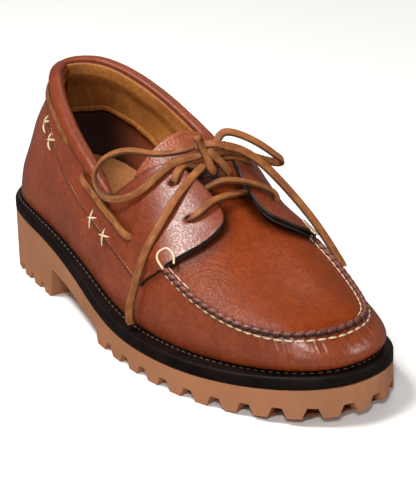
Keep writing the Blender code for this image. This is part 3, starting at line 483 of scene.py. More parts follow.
def resample(points, count):
    """Evenly spaced points along a run of points."""
    points = np.asarray(points, float)
    arc = distances(points)
    return rows_at(np.linspace(0, arc[-1], count), arc, points)


def around(place):
    """Station and side of a place on the loop round the shoe: heel 0, toe 9, heel again 18."""
    place = np.asarray(place, float)
    return np.where(place <= TOE, place, LOOP - place), place > TOE


def ease(x, low, high):
    """A soft step from 0 at low to 1 at high."""
    t = np.clip((x - low) / (high - low), 0, 1)
    return t * t * (3 - 2 * t)


print("the loop round the shoe has", LOOP, "places")


# %% Adding a piece
def add_piece(name, points, faces, finishes, slots=None, marks=None, replaces=()):
    """An object that rides on the shoe, from points in millimetres. slots says which finish each face has,
    marks what the points carry, and replaces which solids it stands for."""
    mesh = bpy.data.meshes.new(name)
    mesh.from_pydata(metres(points).tolist(), [], [[int(k) for k in face] for face in faces])
    for finish in finishes:
        mesh.materials.append(finish)
    if slots is not None:
        mesh.polygons.foreach_set("material_index", np.asarray(slots, np.int32))
    for mark, values in (marks or {}).items():
        values = np.asarray(values, np.float32)
        kind = "FLOAT_VECTOR" if values.ndim == 2 else "FLOAT"
        layer = mesh.attributes.new(mark, kind, "POINT")
        layer.data.foreach_set("vector" if values.ndim == 2 else "value", values.ravel())
    mesh.shade_smooth()
    mesh.validate()
    piece = bpy.data.objects.new(name, mesh)
    scene.collection.objects.link(piece)
    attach(piece, "root")
    if replaces:
        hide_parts(*replaces)
    return piece


print("pieces ride on the body root")


# %% Leather from a grid
EDGE_STEPS = (0.22, 0.5, 0.78)              # where the rounded edge's rows lie between outer and inner skin
EDGE_SWELL = 0.3                            # how far the edge is rounded out, as a share of the thickness
HOLE_REACH = 1.9                            # border points this many radii from a hole's middle are its own


def punch(points, faces, holes, radius):
    """Drops the faces inside each hole and draws the border's points on to its circle."""
    keep = np.ones(len(faces), bool)
    for centre in holes:
        near = np.linalg.norm(points - centre, axis=1) < radius
        keep &= ~near[faces].any(1)
    faces = faces[keep]
    for centre in holes:
        edges = np.concatenate([faces[:, (k, (k + 1) % 4)] for k in range(4)])
        names, counts = np.unique(np.sort(edges, 1), axis=0, return_counts=True)
        border = np.unique(names[counts == 1])
        gap = points[border] - centre
        reach = np.linalg.norm(gap, axis=1)
        near = reach < radius * HOLE_REACH
        points[border[near]] = centre + gap[near] / reach[near, None] * radius
    return points, faces


def leather(name, points, faces, thickness, offset, finishes, marks, holes=(), radius=2.3, raw=None,
            replaces=()):
    """Closed leather from an open grid. finishes: face side, cut edge, flesh side. raw says which points of
    the border show a cut edge, and the others are folded. offset is how far the face side lies outside."""
    points = np.array(points, float)
    if len(holes):
        points, faces = punch(points, faces, holes, radius)
    normals = point_normals(points, faces)
    if ((points - SHOE_MIDDLE) * normals).sum() < 0:
        faces, normals = faces[:, ::-1], -normals
    outer, inner = points + normals * offset, points + normals * (offset - thickness)
    count = len(points)
    edges = np.concatenate([faces[:, (k, (k + 1) % 4)] for k in range(4)])
    there = {(int(a), int(b)) for a, b in edges}
    rim = np.array([edge for edge in there if (edge[1], edge[0]) not in there])
    away = np.zeros_like(points)
    if len(rim):
        side = unit(np.cross(points[rim[:, 1]] - points[rim[:, 0]], normals[rim[:, 0]]))
        np.add.at(away, rim[:, 0], side)
        np.add.at(away, rim[:, 1], side)
        away = unit(away)
    border = np.unique(rim)
    place = {int(k): n for n, k in enumerate(border)}
    rows = []
    for t in EDGE_STEPS:
        swell = EDGE_SWELL * thickness * math.sin(math.pi * t) ** 0.5
        rows.append(outer[border] * (1 - t) + inner[border] * t + away[border] * swell)
    everything = [outer, inner, *rows]
    faces_all = [faces, faces[:, ::-1] + count]
    slots = [np.zeros(len(faces), int), np.full(len(faces), 2)]
    if len(rim):
        a = np.array([place[int(k)] for k in rim[:, 0]])
        b = np.array([place[int(k)] for k in rim[:, 1]])
        chain = [(rim[:, 0], rim[:, 1])]
        for k in range(len(EDGE_STEPS)):
            first = 2 * count + k * len(border)
            chain.append((first + a, first + b))
        chain.append((rim[:, 0] + count, rim[:, 1] + count))
        for (a0, b0), (a1, b1) in zip(chain[:-1], chain[1:]):
            faces_all.append(np.stack([b0, a0, a1, b1], 1))
            slots.append(np.ones(len(rim), int) if raw is None else raw[rim[:, 0]].astype(int))
    marked = {}
    for mark, values in marks.items():
        marked[mark] = np.concatenate([values, values, *[values[border]] * len(EDGE_STEPS)])
    return add_piece(name, np.concatenate(everything), np.concatenate(faces_all), finishes,
                     np.concatenate(slots), marked, replaces)


print("leather helper ready, with", len(EDGE_STEPS), "rows round each edge")

# %% [markdown]
# ## Rawhide laces
# The bow comes first, because a free cord has to lie exactly where its solid is. The lace is one strip of
# oiled rawhide, a little over four millimetres wide and two thick, with rounded edges. A curve with a bevel
# would be round, so each run is swept by hand: a rounded rectangle carried along a smooth route, turning as
# little as it can. The routes are the same points as in the solids.

# %% Rawhide finish
def rawhide(name, colour, dark, pale):
    """Oiled rawhide, with fibres along the lace. The mark named tone is where it is dark."""
    finish = Finish(name, 0.6, 0.35)
    fibres = finish.noise(0.45, 4.0, 0.65)
    lengthwise = finish.noise(0.7, 2.0, 0.5, finish.stretch(finish.mark("lie", "Vector"), (0.12, 1.0, 1.0)))
    clouds = finish.noise(9.0, 3.0)
    mixed = finish.blend(finish.range(clouds, 0.3, 0.7), dark, colour)
    mixed = finish.blend(finish.range(lengthwise, 0.45, 0.75, 0.0, 0.6), mixed, pale)
    mixed = finish.blend(finish.range(finish.mark("tone"), 0, 1), mixed, darker(dark, 0.35))
    relief = finish.bump(lengthwise, 0.12, 0.8, finish.bump(fibres, 0.06, 0.7))
    return finish.paint(mixed, finish.range(fibres, 0.3, 0.7, 0.5, 0.72), relief)


lace_rawhide = rawhide("lace_rawhide", (0.285, 0.090, 0.018), (0.15, 0.040, 0.007), (0.45, 0.175, 0.048))
print("finish", lace_rawhide.name)


# %% Sweeping a strip along a route
LACE_WIDTH, LACE_THICK = 4.3, 2.3
LACE_STEP = 0.8                             # spacing of the sections along a lace
SECTION_CORNERS = 18


def run_length(points):
    """Length of a run of points, in millimetres."""
    return float(np.linalg.norm(np.diff(points, axis=0), axis=1).sum())


def smooth_route(points, spacing=LACE_STEP):
    """Evenly spaced points on a smooth curve through a route's own points."""
    points = np.asarray(points, float)
    marks = np.linspace(0, len(points) - 1, 40 * len(points))
    dense = np.stack([spline(points[:, k], marks) for k in range(3)], -1)
    return resample(dense, max(4, int(round(run_length(dense) / spacing)) + 1))


def strip_section(width, thick):
    """Rounded rectangle, as pairs across and out."""
    angles = np.linspace(0, 2 * math.pi, SECTION_CORNERS, endpoint=False)
    c, s = np.cos(angles), np.sin(angles)
    across, out = np.sign(c) * np.abs(c) ** 0.55, np.sign(s) * np.abs(s) ** 0.75
    return np.stack([across * width / 2, out * thick / 2], -1)


def strip_directions(points, facing):
    """Directions out and across a route. A single facing turns as little as it can along the route, and a row
    of them, one for each point, is followed."""
    along = unit(np.gradient(points, axis=0))
    if np.ndim(facing) == 2:
        out = unit(facing - along * (facing * along).sum(1, keepdims=True))
        return out, np.cross(along, out)
    out = [unit(np.asarray(facing, float) - along[0] * np.dot(facing, along[0]))]
    for step in along[1:]:
        out.append(unit(out[-1] - step * np.dot(out[-1], step)))
    out = np.array(out)
    return out, np.cross(along, out)


def sweep_strip(points, facing, width=LACE_WIDTH, thick=LACE_THICK, turn=0.0):
    """Points, faces and lie of a strip along a route. turn is its twist in degrees from end to end."""
    out, across = strip_directions(points, facing)
    section = strip_section(width, thick)
    angle = np.radians(turn) * np.linspace(0, 1, len(points))[:, None]
    a, b = section[None, :, 0], section[None, :, 1]
    a, b = a * np.cos(angle) - b * np.sin(angle), a * np.sin(angle) + b * np.cos(angle)
    body = points[:, None] + across[:, None] * a[..., None] + out[:, None] * b[..., None]
    round_it = np.linspace(0, 2 * width, len(section))
    lie = np.stack(np.broadcast_arrays(distances(points)[:, None], round_it[None], 0.0), -1)
    return body.reshape(-1, 3), tube_faces(len(points), len(section)), lie.reshape(-1, 3)


def side_shade(width=LACE_WIDTH, thick=LACE_THICK):
    """Painted shade: the narrow sides of the strip are darker than its faces."""
    return 0.8 * ease(np.abs(strip_section(width, thick)[:, 0]) / (width / 2), 0.76, 0.98)


def lace(name, points, facing, replaces, turn=0.0, width=LACE_WIDTH, thick=LACE_THICK, painted_shade=0.0):
    """One run of lace. Its last argument paints shade over all of it."""
    body, faces, lie = sweep_strip(points, facing, width, thick, turn)
    lace_shade = np.clip(np.tile(side_shade(width, thick), len(points)) + painted_shade, 0, 1)
    return add_piece(name, body, faces, [lace_rawhide], None, {"lie": lie, "tone": lace_shade}, replaces)


print("a lace's section is", LACE_WIDTH, "by", LACE_THICK, "mm")


# %% The bow's four free runs
ROUTES = {
    "lace_loop_lateral": (
        (175.2, -3.2, 106.6), (170.6, -8.5, 104.2), (165.8, -14.0, 102.8), (161.2, -21.0, 102.8),
        (156.0, -28.0, 104.2), (150.4, -34.5, 103.2), (145.2, -39.5, 99.2), (142.2, -43.0, 93.0),
        (143.4, -44.4, 86.8), (149.8, -43.8, 82.0), (159.4, -40.8, 82.2), (168.4, -35.2, 86.6),
        (172.8, -28.0, 92.9), (174.4, -20.2, 98.8), (175.4, -12.0, 101.6), (177.2, -3.6, 102.4)),
    "lace_loop_medial": (
        (177.0, 8.2, 107.6), (176.6, 13.6, 111.4), (180.6, 22.0, 108.8), (187.0, 29.0, 104.0),
        (190.6, 35.0, 98.4), (190.2, 38.6, 94.9), (186.4, 37.6, 93.0), (181.8, 29.5, 95.6),
        (177.8, 19.5, 99.8), (178.6, 10.0, 102.0)),
    "lace_end_lateral": (
        (181.4, -2.6, 98.0), (183.4, -9.0, 95.6), (186.4, -16.5, 92.2), (189.4, -24.6, 87.2),
        (191.6, -32.4, 80.2), (192.8, -39.2, 72.8), (192.6, -44.4, 65.0), (190.8, -47.4, 56.0),
        (187.8, -49.0, 46.0), (184.0, -49.6, 36.0), (181.4, -49.0, 27.0), (180.4, -47.6, 23.2)),
    "lace_end_medial": (
        (183.0, 8.3, 107.2), (186.0, 17.5, 103.4), (189.6, 25.5, 97.0), (194.2, 31.5, 89.6),
        (199.4, 37.0, 81.2), (205.4, 41.8, 72.6), (213.6, 46.2, 62.2), (223.6, 50.2, 49.2),
        (226.2, 51.0, 45.4)),
}
FREE_RUNS = {  # name: (direction the flat side faces, twist in degrees, what the far end is, width)
    "lace_loop_lateral": ((0.2, 0.1, 1.0), 35.0, "object", LACE_WIDTH),
    "lace_loop_medial": ((0.5, -0.3, 0.8), 40.0, "object", LACE_WIDTH),
    "lace_end_lateral": ((0.6, -0.5, 0.7), 20.0, "bare", LACE_WIDTH),
    "lace_end_medial": ((0.75, -0.05, 0.65), 10.0, "bare", 4.9),
}
for name, (facing, turn, far_end, width) in FREE_RUNS.items():
    route = smooth_route(ROUTES[name])
    piece = lace("bow_" + name.removeprefix("lace_"), route, facing, (name,), turn, width)
    print(name, round(run_length(route), 1), "mm")

# %% [markdown]
# ## The knot
# A bow's knot is the lace wrapped once round itself. Five short runs make it: a core and a low run that the
# loops and ends leave from, a wrap that goes over the top and down the front, a second strand beside it, and
# one under them.

# %% The knot
KNOT = np.array((180.5, 3.5, 103.2))       # its middle
KNOT_STEP = 0.6                             # its sections lie closer than a lace's, because it bends harder
KNOT_STRANDS = {  # points round the knot's middle, and where the flat side faces: one way, or a row of ways
    "core": (((-5.3, -6.7, 3.4), (-3.4, -4.6, 4.4), (-1.2, -1.6, 5.0), (1.0, 1.8, 5.0), (2.5, 4.8, 4.0)),
             (0.6, -0.2, 0.75)),
    "low": (((-3.3, -7.1, -0.8), (-1.0, -3.6, 0.2), (0.6, 0.6, 0.2), (-0.6, 4.0, -0.4), (-1.9, 6.5, -1.2)),
            (0.6, -0.2, 0.75)),
    "wrap": (((-6.2, -2.2, 2.5), (-6.0, -4.4, 6.8), (-3.2, -6.8, 8.7), (-1.4, -6.6, 5.8), (0.9, -5.5, 2.3),
              (2.9, -4.4, -2.2), (4.3, -3.4, -6.4), (3.4, -1.4, -8.2)),
             ((-0.9, 0, 0.3), (-0.6, 0.1, 0.8), (0.1, 0, 1.0), (0.75, -0.25, 0.6), (0.85, -0.4, 0.35),
              (0.85, -0.4, 0.3), (0.9, -0.3, 0.2))),
    "second": (((0.4, -2.6, 2.4), (2.6, -1.6, 0.6), (3.9, 1.4, -3.0), (4.6, 4.2, -6.8), (4.8, 6.2, -10.2),
                (4.0, 6.8, -12.0)), (0.8, -0.3, 0.6)),
    "under": (((-3.0, 1.0, -3.6), (0.0, -1.0, -4.4), (1.8, -3.6, -4.6), (1.6, -5.8, -5.2)), (0.2, 0.1, 1)),
}
bodies, faces, lies, shades = [], [], [], []
for points, facing in KNOT_STRANDS.values():
    route = smooth_route(KNOT + np.array(points), KNOT_STEP)
    facing = resample(facing, len(route)) if np.ndim(facing) == 2 else facing
    body, strip_faces, lie = sweep_strip(route, facing)
    shades.append(np.tile(side_shade(), len(route)))
    base = sum(len(made) for made in bodies)
    bodies.append(body)
    lies.append(lie)
    faces += [[base + k for k in face] for face in strip_faces]
add_piece("bow_knot", np.concatenate(bodies), faces, [lace_rawhide], None,
          {"lie": np.concatenate(lies), "tone": np.concatenate(shades)}, ("lace_knot",))
print("knot strands", list(KNOT_STRANDS))

# %% [markdown]
# ## Laces through the eyelets
# Two runs cross over the throat from the lower eyelets, one bar joins the upper ones under the knot, and a
# lace shows along each side of the collar where it comes out of one hole and goes into the next. A thinner
# run lies round the heel under the collar. Each run starts just inside its hole, climbs over the edge and
# lies flat on the leather.

# %% Crossing and bar
SIDES = (("lateral", False), ("medial", True))
EYELETS = ((5.55, 1.48), (5.06, 1.56))      # (station, height) of the lower and the upper one
ON_QUARTER = OVERLAY + OVERLAY_GAP + FIT_GAP + 1.5
WING_LIFT = {False: 1.7, True: 3.1}         # how far each wing stands off the foot, outer and inner side
ON_INNER_WING = ON_QUARTER + WING_LIFT[True]
CROSSINGS = {  # (station, height, inner side, distance off the foot), from an eyelet to under the other wing
    "lateral": ((5.55, 1.46, False, 0.2), (5.566, 1.478, False, ON_QUARTER - 0.6),
                (5.60, 1.55, False, ON_QUARTER + 1.2), (5.603, 1.66, False, ON_QUARTER + 2.0),
                (5.606, 1.80, False, ON_QUARTER + 1.4), (5.613, 1.97, False, 3.6),
                (5.58, 1.90, True, 2.4), (5.53, 1.80, True, 0.8), (5.50, 1.74, True, 0.2)),
    "medial": ((5.62, 1.455, True, 1.0), (5.585, 1.50, True, ON_INNER_WING - 0.3),
               (5.533, 1.607, True, ON_INNER_WING + 0.4), (5.503, 1.80, True, ON_QUARTER + 3.4),
               (5.47, 1.95, True, 7.4), (5.43, 1.93, False, 7.0), (5.39, 1.85, False, 4.6),
               (5.355, 1.78, False, 1.6), (5.34, 1.74, False, 0.2)),
}
BAR = ((176.4, -11.6, 98.6), (177.2, -5.0, 96.8), (178.6, 1.0, 96.1), (179.6, 6.0, 96.1), (178.6, 11.5, 98.6))


def flat_lace(name, points, facing, replaces):
    """A run of lace whose flat side faces the same way from end to end."""
    route = smooth_route(points)
    return lace(name, route, np.broadcast_to(facing, route.shape), replaces)


for side, _ in SIDES:
    points = [over_surface(*place) for place in CROSSINGS[side]]
    flat_lace("crossing_" + side, points, (0.25, 0, 1.0), ("lace_crossing",))
s, h = EYELETS[1]
bar_points = [over_surface(s, h, False, 0.6), over_surface(s, h + 0.03, False, ON_QUARTER + 1.2), *BAR,
              over_surface(s, h + 0.03, True, ON_QUARTER + 1.6), over_surface(s, h, True, 0.6)]
flat_lace("bar_under_knot", bar_points, (0.3, 0, 1.0), ("lace_bar",))
print("laces run through", len(EYELETS) * len(SIDES), "eyelets")

# %% Side and heel laces
SIDE_HOLES = ((3.72, 0.97), (4.91, 0.955))  # (station, height) of the rear and the front one
IN_HOLE, BESIDE_HOLE = 0.6, 0.05            # the lace's depth in a hole, and how soon beside it it is out
HEEL_PLACES = (  # (station, height, distance off the foot) of one half of the run round the heel
    (3.30, 1.00, 0.4), (3.20, 1.01, 1.7), (3.06, 1.008, 2.4), (2.944, 1.000, 2.5), (2.605, 0.992, 2.5),
    (2.306, 0.975, 2.5), (2.0, 0.968, 2.5), (1.5, 0.965, 2.5), (1.0, 0.965, 2.5), (0.5, 0.965, 2.5),
    (0.0, 0.965, 2.5))
# the last value is painted shade over the whole heel lace, which lies in the collar's shade
HEEL_LACE_WIDTH, HEEL_LACE_THICK, HEEL_LACE_SHADE = 3.4, 1.2, 0.3
HEEL_LACE_STEP = 0.9
for side, medial in SIDES:
    (first, low), (second, high) = SIDE_HOLES
    stations, heights = np.linspace(first + BESIDE_HOLE, second - BESIDE_HOLE, 6), np.linspace(low, high, 6)
    route = smooth_route([over_surface(first, low, medial, IN_HOLE),
                          *over_surface(stations, heights, medial, ON_QUARTER + 0.1),
                          over_surface(second, high, medial, IN_HOLE)])
    beside = np.linspace(first, second, len(route))
    normals = unit(over_surface(beside, low, medial, 5.0) - over_surface(beside, low, medial, 0.0))
    lace("side_lace_" + side, route, normals, ("lace_side_" + side,))
heel_half = [over_surface(s, h, False, off) for s, h, off in HEEL_PLACES]
heel_rest = [over_surface(s, h, True, off) for s, h, off in HEEL_PLACES[-2::-1]]
route = smooth_route(heel_half + heel_rest, HEEL_LACE_STEP)
normals = unit(unit(route - np.array((60.0, 0.0, 80.0))) * (1, 1, 0.5))
lace("heel_lace", route, normals, ("lace_heel",), 0.0, HEEL_LACE_WIDTH, HEEL_LACE_THICK, HEEL_LACE_SHADE)
print("side laces run through", len(SIDE_HOLES) * len(SIDES), "holes")

# %% [markdown]
# ## Gum rubber outsole
# The outsole is one moulded unit of translucent caramel rubber: flat sides, edge lugs, a heel block. Its
# solid is already right, so it stays and only takes a finish: smooth, slightly cloudy colour with a faint
# mould texture and paler specks of dust.

# %% Outsole
def rubber(name, colour, dark, pale):
    """Moulded rubber, cloudy, with paler specks of dust."""
    finish = Finish(name, 0.6, 0.25)
    clouds = finish.noise(30.0, 3.0, 0.55)
    specks = finish.noise(1.2, 4.0, 0.7)
    skin = finish.noise(0.5, 3.0, 0.6)
    mixed = finish.blend(finish.range(clouds, 0.3, 0.7), dark, colour)
    mixed = finish.blend(finish.range(specks, 0.6, 0.85, 0.0, 0.4), mixed, pale)
    return finish.paint(mixed, finish.range(specks, 0.3, 0.8, 0.46, 0.62), finish.bump(skin, 0.04, 0.5))


gum_rubber = rubber("gum_rubber", (0.33, 0.137, 0.062), (0.28, 0.112, 0.050), (0.42, 0.20, 0.105))
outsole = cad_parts["outsole"]
outsole.data.materials.clear()
outsole.data.materials.append(gum_rubber)
print("outsole keeps", len(outsole.data.polygons), "faces")

# %% [markdown]
# ## Midsole with its welt
# A dark leather midsole runs all round between rubber and upper. Its outer edge is waxed and bevelled, so
# it shows a thin bright line, and a row of stitches lies on the ledge beside the upper. It is made from
# rings: the outline drawn in by a little more at each level, bridged and closed across like a ladder.

# %% Midsole
def ring_points(stations, inset, height):
    """Closed ring round the sole, an inset inside its outline, at a height over the rubber's top."""
    sides = []
    for medial, order in ((False, stations), (True, stations[-2:0:-1])):
        point, inward = outline(order, medial)
        plan = point + inward * inset
        sides.append(np.concatenate([plan, (gum_top(plan[:, 0]) + height)[:, None]], -1))
    return np.concatenate(sides)


def ringed_plate(name, stations, levels, finish, replaces):
    """Solid plate from rings (inset, height) from below to above, with two ladders to close it."""
    rings = [ring_points(stations, inset, height) for inset, height in levels]
    count = len(rings[0])
    numbers = np.arange(count * len(rings)).reshape(len(rings), count).T
    faces = grid_faces(count, len(rings), True, numbers).tolist()
    for ring in (0, len(rings) - 1):
        base = ring * count
        for i in range(len(stations) - 1):
            corners = [base + i, base + i + 1, base + (count - i - 1) % count, base + (count - i) % count]
            face = list(dict.fromkeys(corners))
            faces.append(face if ring else face[::-1])
    marks = {"tone": np.zeros(count * len(rings))}
    return add_piece(name, np.concatenate(rings), faces, [finish], None, marks, replaces)


def waxed_edge(name):
    """Nearly black leather with a waxed grain."""
    finish = Finish(name, 0.5, 0.1)
    grain = finish.noise(0.9, 4.0, 0.6)
    clouds = finish.noise(14.0, 3.0)
    mixed = finish.blend(finish.range(clouds, 0.35, 0.65), (0.0035, 0.0018, 0.0013), (0.009, 0.0045, 0.0032))
    mixed = finish.blend(finish.range(grain, 0.62, 0.8, 0.0, 0.5), mixed, (0.024, 0.014, 0.010))
    return finish.paint(mixed, finish.range(grain, 0.35, 0.7, 0.42, 0.6), finish.bump(grain, 0.14, 0.8))


welt_leather = waxed_edge("welt_leather")
MIDSOLE_LOW = ((2.0, 0.3), (0.7, 0.3), (0.25, 0.6), (0.0, 1.3))     # (inset, height) up the lower bevel
MIDSOLE_HIGH = ((0.0, -1.9), (0.25, -1.2), (0.8, -0.55), (1.6, -0.2), (2.2, -0.3), (2.7, -0.15), (5.0, -0.05),
                (8.0, 0.0), (16.0, 0.0))                            # (inset, height from the top) on the ledge
midsole_levels = MIDSOLE_LOW + tuple((inset, MIDSOLE_THICK + height) for inset, height in MIDSOLE_HIGH)
midsole = ringed_plate("midsole_with_welt", np.linspace(0, TOE, 361), midsole_levels, welt_leather,
                       ("midsole",))
print("midsole", MIDSOLE_THICK, "mm thick,", len(midsole.data.polygons), "faces")

# %% [markdown]
# ## The wrap
# One piece of leather runs all round the foot, from the midsole up to the collar and the apron seam. Round
# the toe it is longer than the apron it is sewn to, so it is gathered into small pleats below the seam. The
# grid follows the loop round the shoe, with more columns at the toe, where the pleats are.

# %% Creases in the shoe's own sizes
CREASES = {  # name: ((station, height) points, inner side, width and depth in mm)
    "waist fold": (((4.3, 0.30), (4.6, 0.42), (4.9, 0.50)), False, 5.0, 0.5),
    "ball fold": (((5.6, 0.15), (5.9, 0.35), (6.1, 0.62)), False, 6.0, 0.35),
    "heel dent": (((1.2, 0.45), (1.7, 0.52), (2.2, 0.50)), False, 9.0, 0.6),
    "inner fold": (((5.1, 0.25), (5.5, 0.45), (5.8, 0.62)), True, 6.0, 0.5),
}


def crease_depth(points):
    """How far the listed creases push each point in: a soft trough each, with a low ridge beside it."""
    depth = np.zeros(points.shape[:-1])
    for way, medial, width, push in CREASES.values():
        line = resample([last_surface(s, h, medial) for s, h in way], 24)
        gap = np.full(points.shape[:-1], 1e9)
        for mark in line:
            gap = np.minimum(gap, np.linalg.norm(points - mark, axis=-1))
        depth += push * (np.exp(-(gap / width) ** 2) - 0.45 * np.exp(-((gap - 1.6 * width) / width) ** 2))
    return depth


def outward_normals(grid, closed, up=False):
    """Directions of a grid's points away from the shoe's middle, or with up set upwards."""
    along = np.roll(grid, -1, 0) - np.roll(grid, 1, 0) if closed else np.gradient(grid, axis=0)
    normals = unit(np.cross(along, np.gradient(grid, axis=1)))
    away = normals[..., 2].sum() if up else ((grid - SHOE_MIDDLE) * normals).sum()
    return normals if away > 0 else -normals


print("creases", list(CREASES))


# %% Wrap
STITCH_PITCH = 5.4                          # of the hand-sewn seam, in mm
PLEAT_DEPTH, PUCKER_DEPTH = 0.28, 0.28      # at the toe, and between the stitches


def loop_places(*runs):
    """Places round the loop from runs of (start, end, count)."""
    return np.concatenate([np.linspace(a, b, n, endpoint=False) for a, b, n in runs])


wrap_places = loop_places((0, 6.2, 250), (6.2, 11.8, 420), (11.8, LOOP, 250))
wrap_heights = np.concatenate([[0, 0.012, 0.03], np.linspace(0.055, 0.96, 34), [0.98, 0.995]])
station, medial = around(wrap_places)
wrap_grid = last_surface(station[:, None], wrap_heights[None], medial[:, None])
rim = key_line(station, medial)
seam_run = distances(rim)
wall_rise = (rim - feather(station, medial))[:, 2]
toe_near = ease(wrap_places, 6.3, 7.3) * (1 - ease(wrap_places, 10.6, 11.6))
seam_near = ease(wrap_places, 5.5, 5.9) * (1 - ease(wrap_places, 12.1, 12.5))
pucker = np.cos(2 * math.pi * seam_run / STITCH_PITCH)[:, None] * ease(wrap_heights, 0.80, 0.97)[None]
pleat_noise = np.array([noise.noise((run / 2.6, 3.1, 0.0)) + 0.6 * noise.noise((run / 1.5, 9.4, 0.0))
                        for run in seam_run])
pleat_band = ease(wrap_heights, 0.40, 0.78) * (1 - 0.5 * ease(wrap_heights, 0.92, 1.0))
shift = PLEAT_DEPTH * pleat_noise[:, None] * pleat_band[None] * toe_near[:, None]
shift = shift + PUCKER_DEPTH * pucker * seam_near[:, None] - crease_depth(wrap_grid)
wrap_grid = wrap_grid + outward_normals(wrap_grid, True) * shift[..., None]
low_tone, high_tone = 0.45 * (1 - ease(wrap_heights, 0.0, 0.09)), 0.5 * ease(wrap_heights, 0.93, 1.0)
up_the_wall = wrap_heights[None] * wall_rise[:, None]
wrap_marks = {
    # painted shade inside the shoe: the flesh side is nearly black, except on the inner wall ahead of the heel
    "deep": (1 - 0.97 * (ease(station, 1.5, 2.9) * medial))[:, None].repeat(len(wrap_heights), 1).ravel(),
    "tone": (low_tone[None] + high_tone[None] * seam_near[:, None]).ravel(),
    "gather": (0.26 * pleat_band[None] * (0.15 + 0.85 * toe_near[:, None]) * seam_near[:, None]).ravel(),
    "lie": np.stack(np.broadcast_arrays(seam_run[:, None], up_the_wall, 0.0), -1).reshape(-1, 3),
}
faces = grid_faces(len(wrap_places), len(wrap_heights), True)
wrap = leather("wrap", wrap_grid.reshape(-1, 3), faces, UPPER_WALL, 0.0,
               [wrap_leather, dark_edge, inner_leather], wrap_marks, replaces=("upper",))
print("wrap", len(wrap.data.polygons), "faces, seam run", round(float(seam_run[-1])), "mm")

# %% [markdown]
# ## The apron
# The flat plug over the toes is a separate piece, butted to the wrap along the raised seam. It is a half
# disc on the last: its outer rim is the seam, and its inner row is the ridge of the foot, walked out and
# back, so opposite columns share their last point. Fine creases cross it behind the ball, on the outer side.

# %% Apron
ARC_MIDDLE = (238.0, -41.0)                 # the fine creases are arcs about this place of the plan
apron_places = np.concatenate([loop_places((APRON_REAR, 6.4, 90), (6.4, 11.6, 330)),
                               np.linspace(11.6, LOOP - APRON_REAR, 91)])
apron_places = (apron_places + (LOOP - apron_places[::-1])) / 2      # so that its two sides mirror
apron_heights = np.concatenate([[1.0, 1.012, 1.03], np.linspace(1.06, 2, 38)])
station, medial = around(apron_places)
apron_grid = last_surface(station[:, None], apron_heights[None], medial[:, None])
rim = key_line(station, medial)
reach = np.linalg.norm(crest(station) - rim, axis=1)[:, None] * (apron_heights - 1)[None]
pucker = np.cos(2 * math.pi * distances(rim) / STITCH_PITCH)[:, None] * np.exp(-(reach / 2.6) ** 2)
dip = 0.5 * np.exp(-((reach - 3.4) / 2.6) ** 2)
from_middle = apron_grid[..., :2] - ARC_MIDDLE
bend = np.linalg.norm(from_middle, axis=-1)
lengthways = 22.0 * np.arctan2(from_middle[..., 1], -from_middle[..., 0])
fine_spot = np.exp(-((bend - 19.0) / 9.0) ** 2 - ((lengthways - 17.0) / 17.0) ** 2)
apron_grid = apron_grid + UP * (0.22 * pucker - dip)[..., None]
relaxed = 0.5 * ease(apron_heights, 1.12, 1.5)[None, :, None]
for _ in range(160):    # relaxes the ridge, where the columns meet, into one soft dome
    padded = np.concatenate([apron_grid, apron_grid[::-1, -2:-1]], 1)
    mean = apron_grid.copy()
    mean[1:-1, 1:] = (apron_grid[:-2, 1:] + apron_grid[2:, 1:] + padded[1:-1, :-2] + padded[1:-1, 2:]) / 4
    apron_grid = apron_grid * (1 - relaxed) + mean * relaxed
    apron_grid[:, -1] = (apron_grid[:, -1] + apron_grid[::-1, -1]) / 2
numbers = np.arange(reach.size).reshape(reach.shape)
order = np.arange(len(numbers))
numbers[:, -1] = numbers[np.minimum(order, order[::-1]), -1]
faces = grid_faces(*reach.shape, False, numbers)
faces = faces[[len(set(face)) == 4 for face in faces.tolist()]]
used, fresh = np.unique(faces, return_inverse=True)
# Painted shade darkens the apron's rear edge under the crossing laces; the other tone darkens it beside the
# seam.
seam_tone, rear_painted_shade = np.exp(-(reach / 1.5) ** 2), np.exp(-((station - APRON_REAR) / 0.13) ** 2)
apron_marks = {
    "tone": np.clip(0.75 * seam_tone + 0.75 * rear_painted_shade[:, None], 0, 1).ravel()[used],
    "gather": (0.07 + 0.55 * fine_spot).ravel()[used],
    "lie": np.stack([bend, lengthways, bend * 0], -1).reshape(-1, 3)[used],
}
apron = leather("apron", apron_grid.reshape(-1, 3)[used], fresh.reshape(faces.shape), UPPER_WALL, 0.0,
                [apron_leather, dark_edge, inner_leather], apron_marks, replaces=("upper",))
print("apron", len(apron.data.polygons), "faces")

# %% [markdown]
# ## The quarter and its wings
# A second layer of leather wraps the heel under the collar, widens into two wings over the instep and ends
# in rounded tips. Its raw edge is thick and dyed dark. Columns run round the heel; each one goes from the
# stitched lower edge up to the collar or, ahead of the notch, to the wing's edge, which leans forward. The
# wings stand off the foot by a few millimetres, the inner one more.

# %% Quarter
QUARTER_EDGE = ((0, 0.88), (2.4, 0.88), (2.8, 0.80), (3.3, 0.71), (3.9, 0.685), (4.5, 0.67), (5.1, 0.61),
                (9, 0.60))
WING_EDGE = ((0, 1.035), (4.0, 1.035), (4.24, 1.05), (4.38, 1.10), (4.63, 1.36), (4.75, 1.53), (4.88, 1.66),
             (5.12, 1.75), (5.36, 1.78), (5.6, 1.76), (5.85, 1.74), (9, 1.6))
FRONT_LEAN = ((0, -0.45), (0.60, -0.36), (0.8, -0.17), (0.94, -0.02), (1.02, 0.06), (1.14, 0.14), (1.33, 0.25),
              (1.51, 0.33), (1.62, 0.33), (1.75, 0.29), (2, 0.28))
FRONT_MEDIAL = 0.10                         # how much farther forward the inner wing's front stands
TIP, TIP_DROP = 0.11, 0.085                 # the rounded tip's reach along the wing, and how far it drops


def soft_noise(grid, sizes):
    """Smooth noise at each point of a grid. sizes are its lumps' sizes in mm."""
    return np.array([[noise.noise(tuple(p)) for p in line] for line in grid / np.array(sizes)])


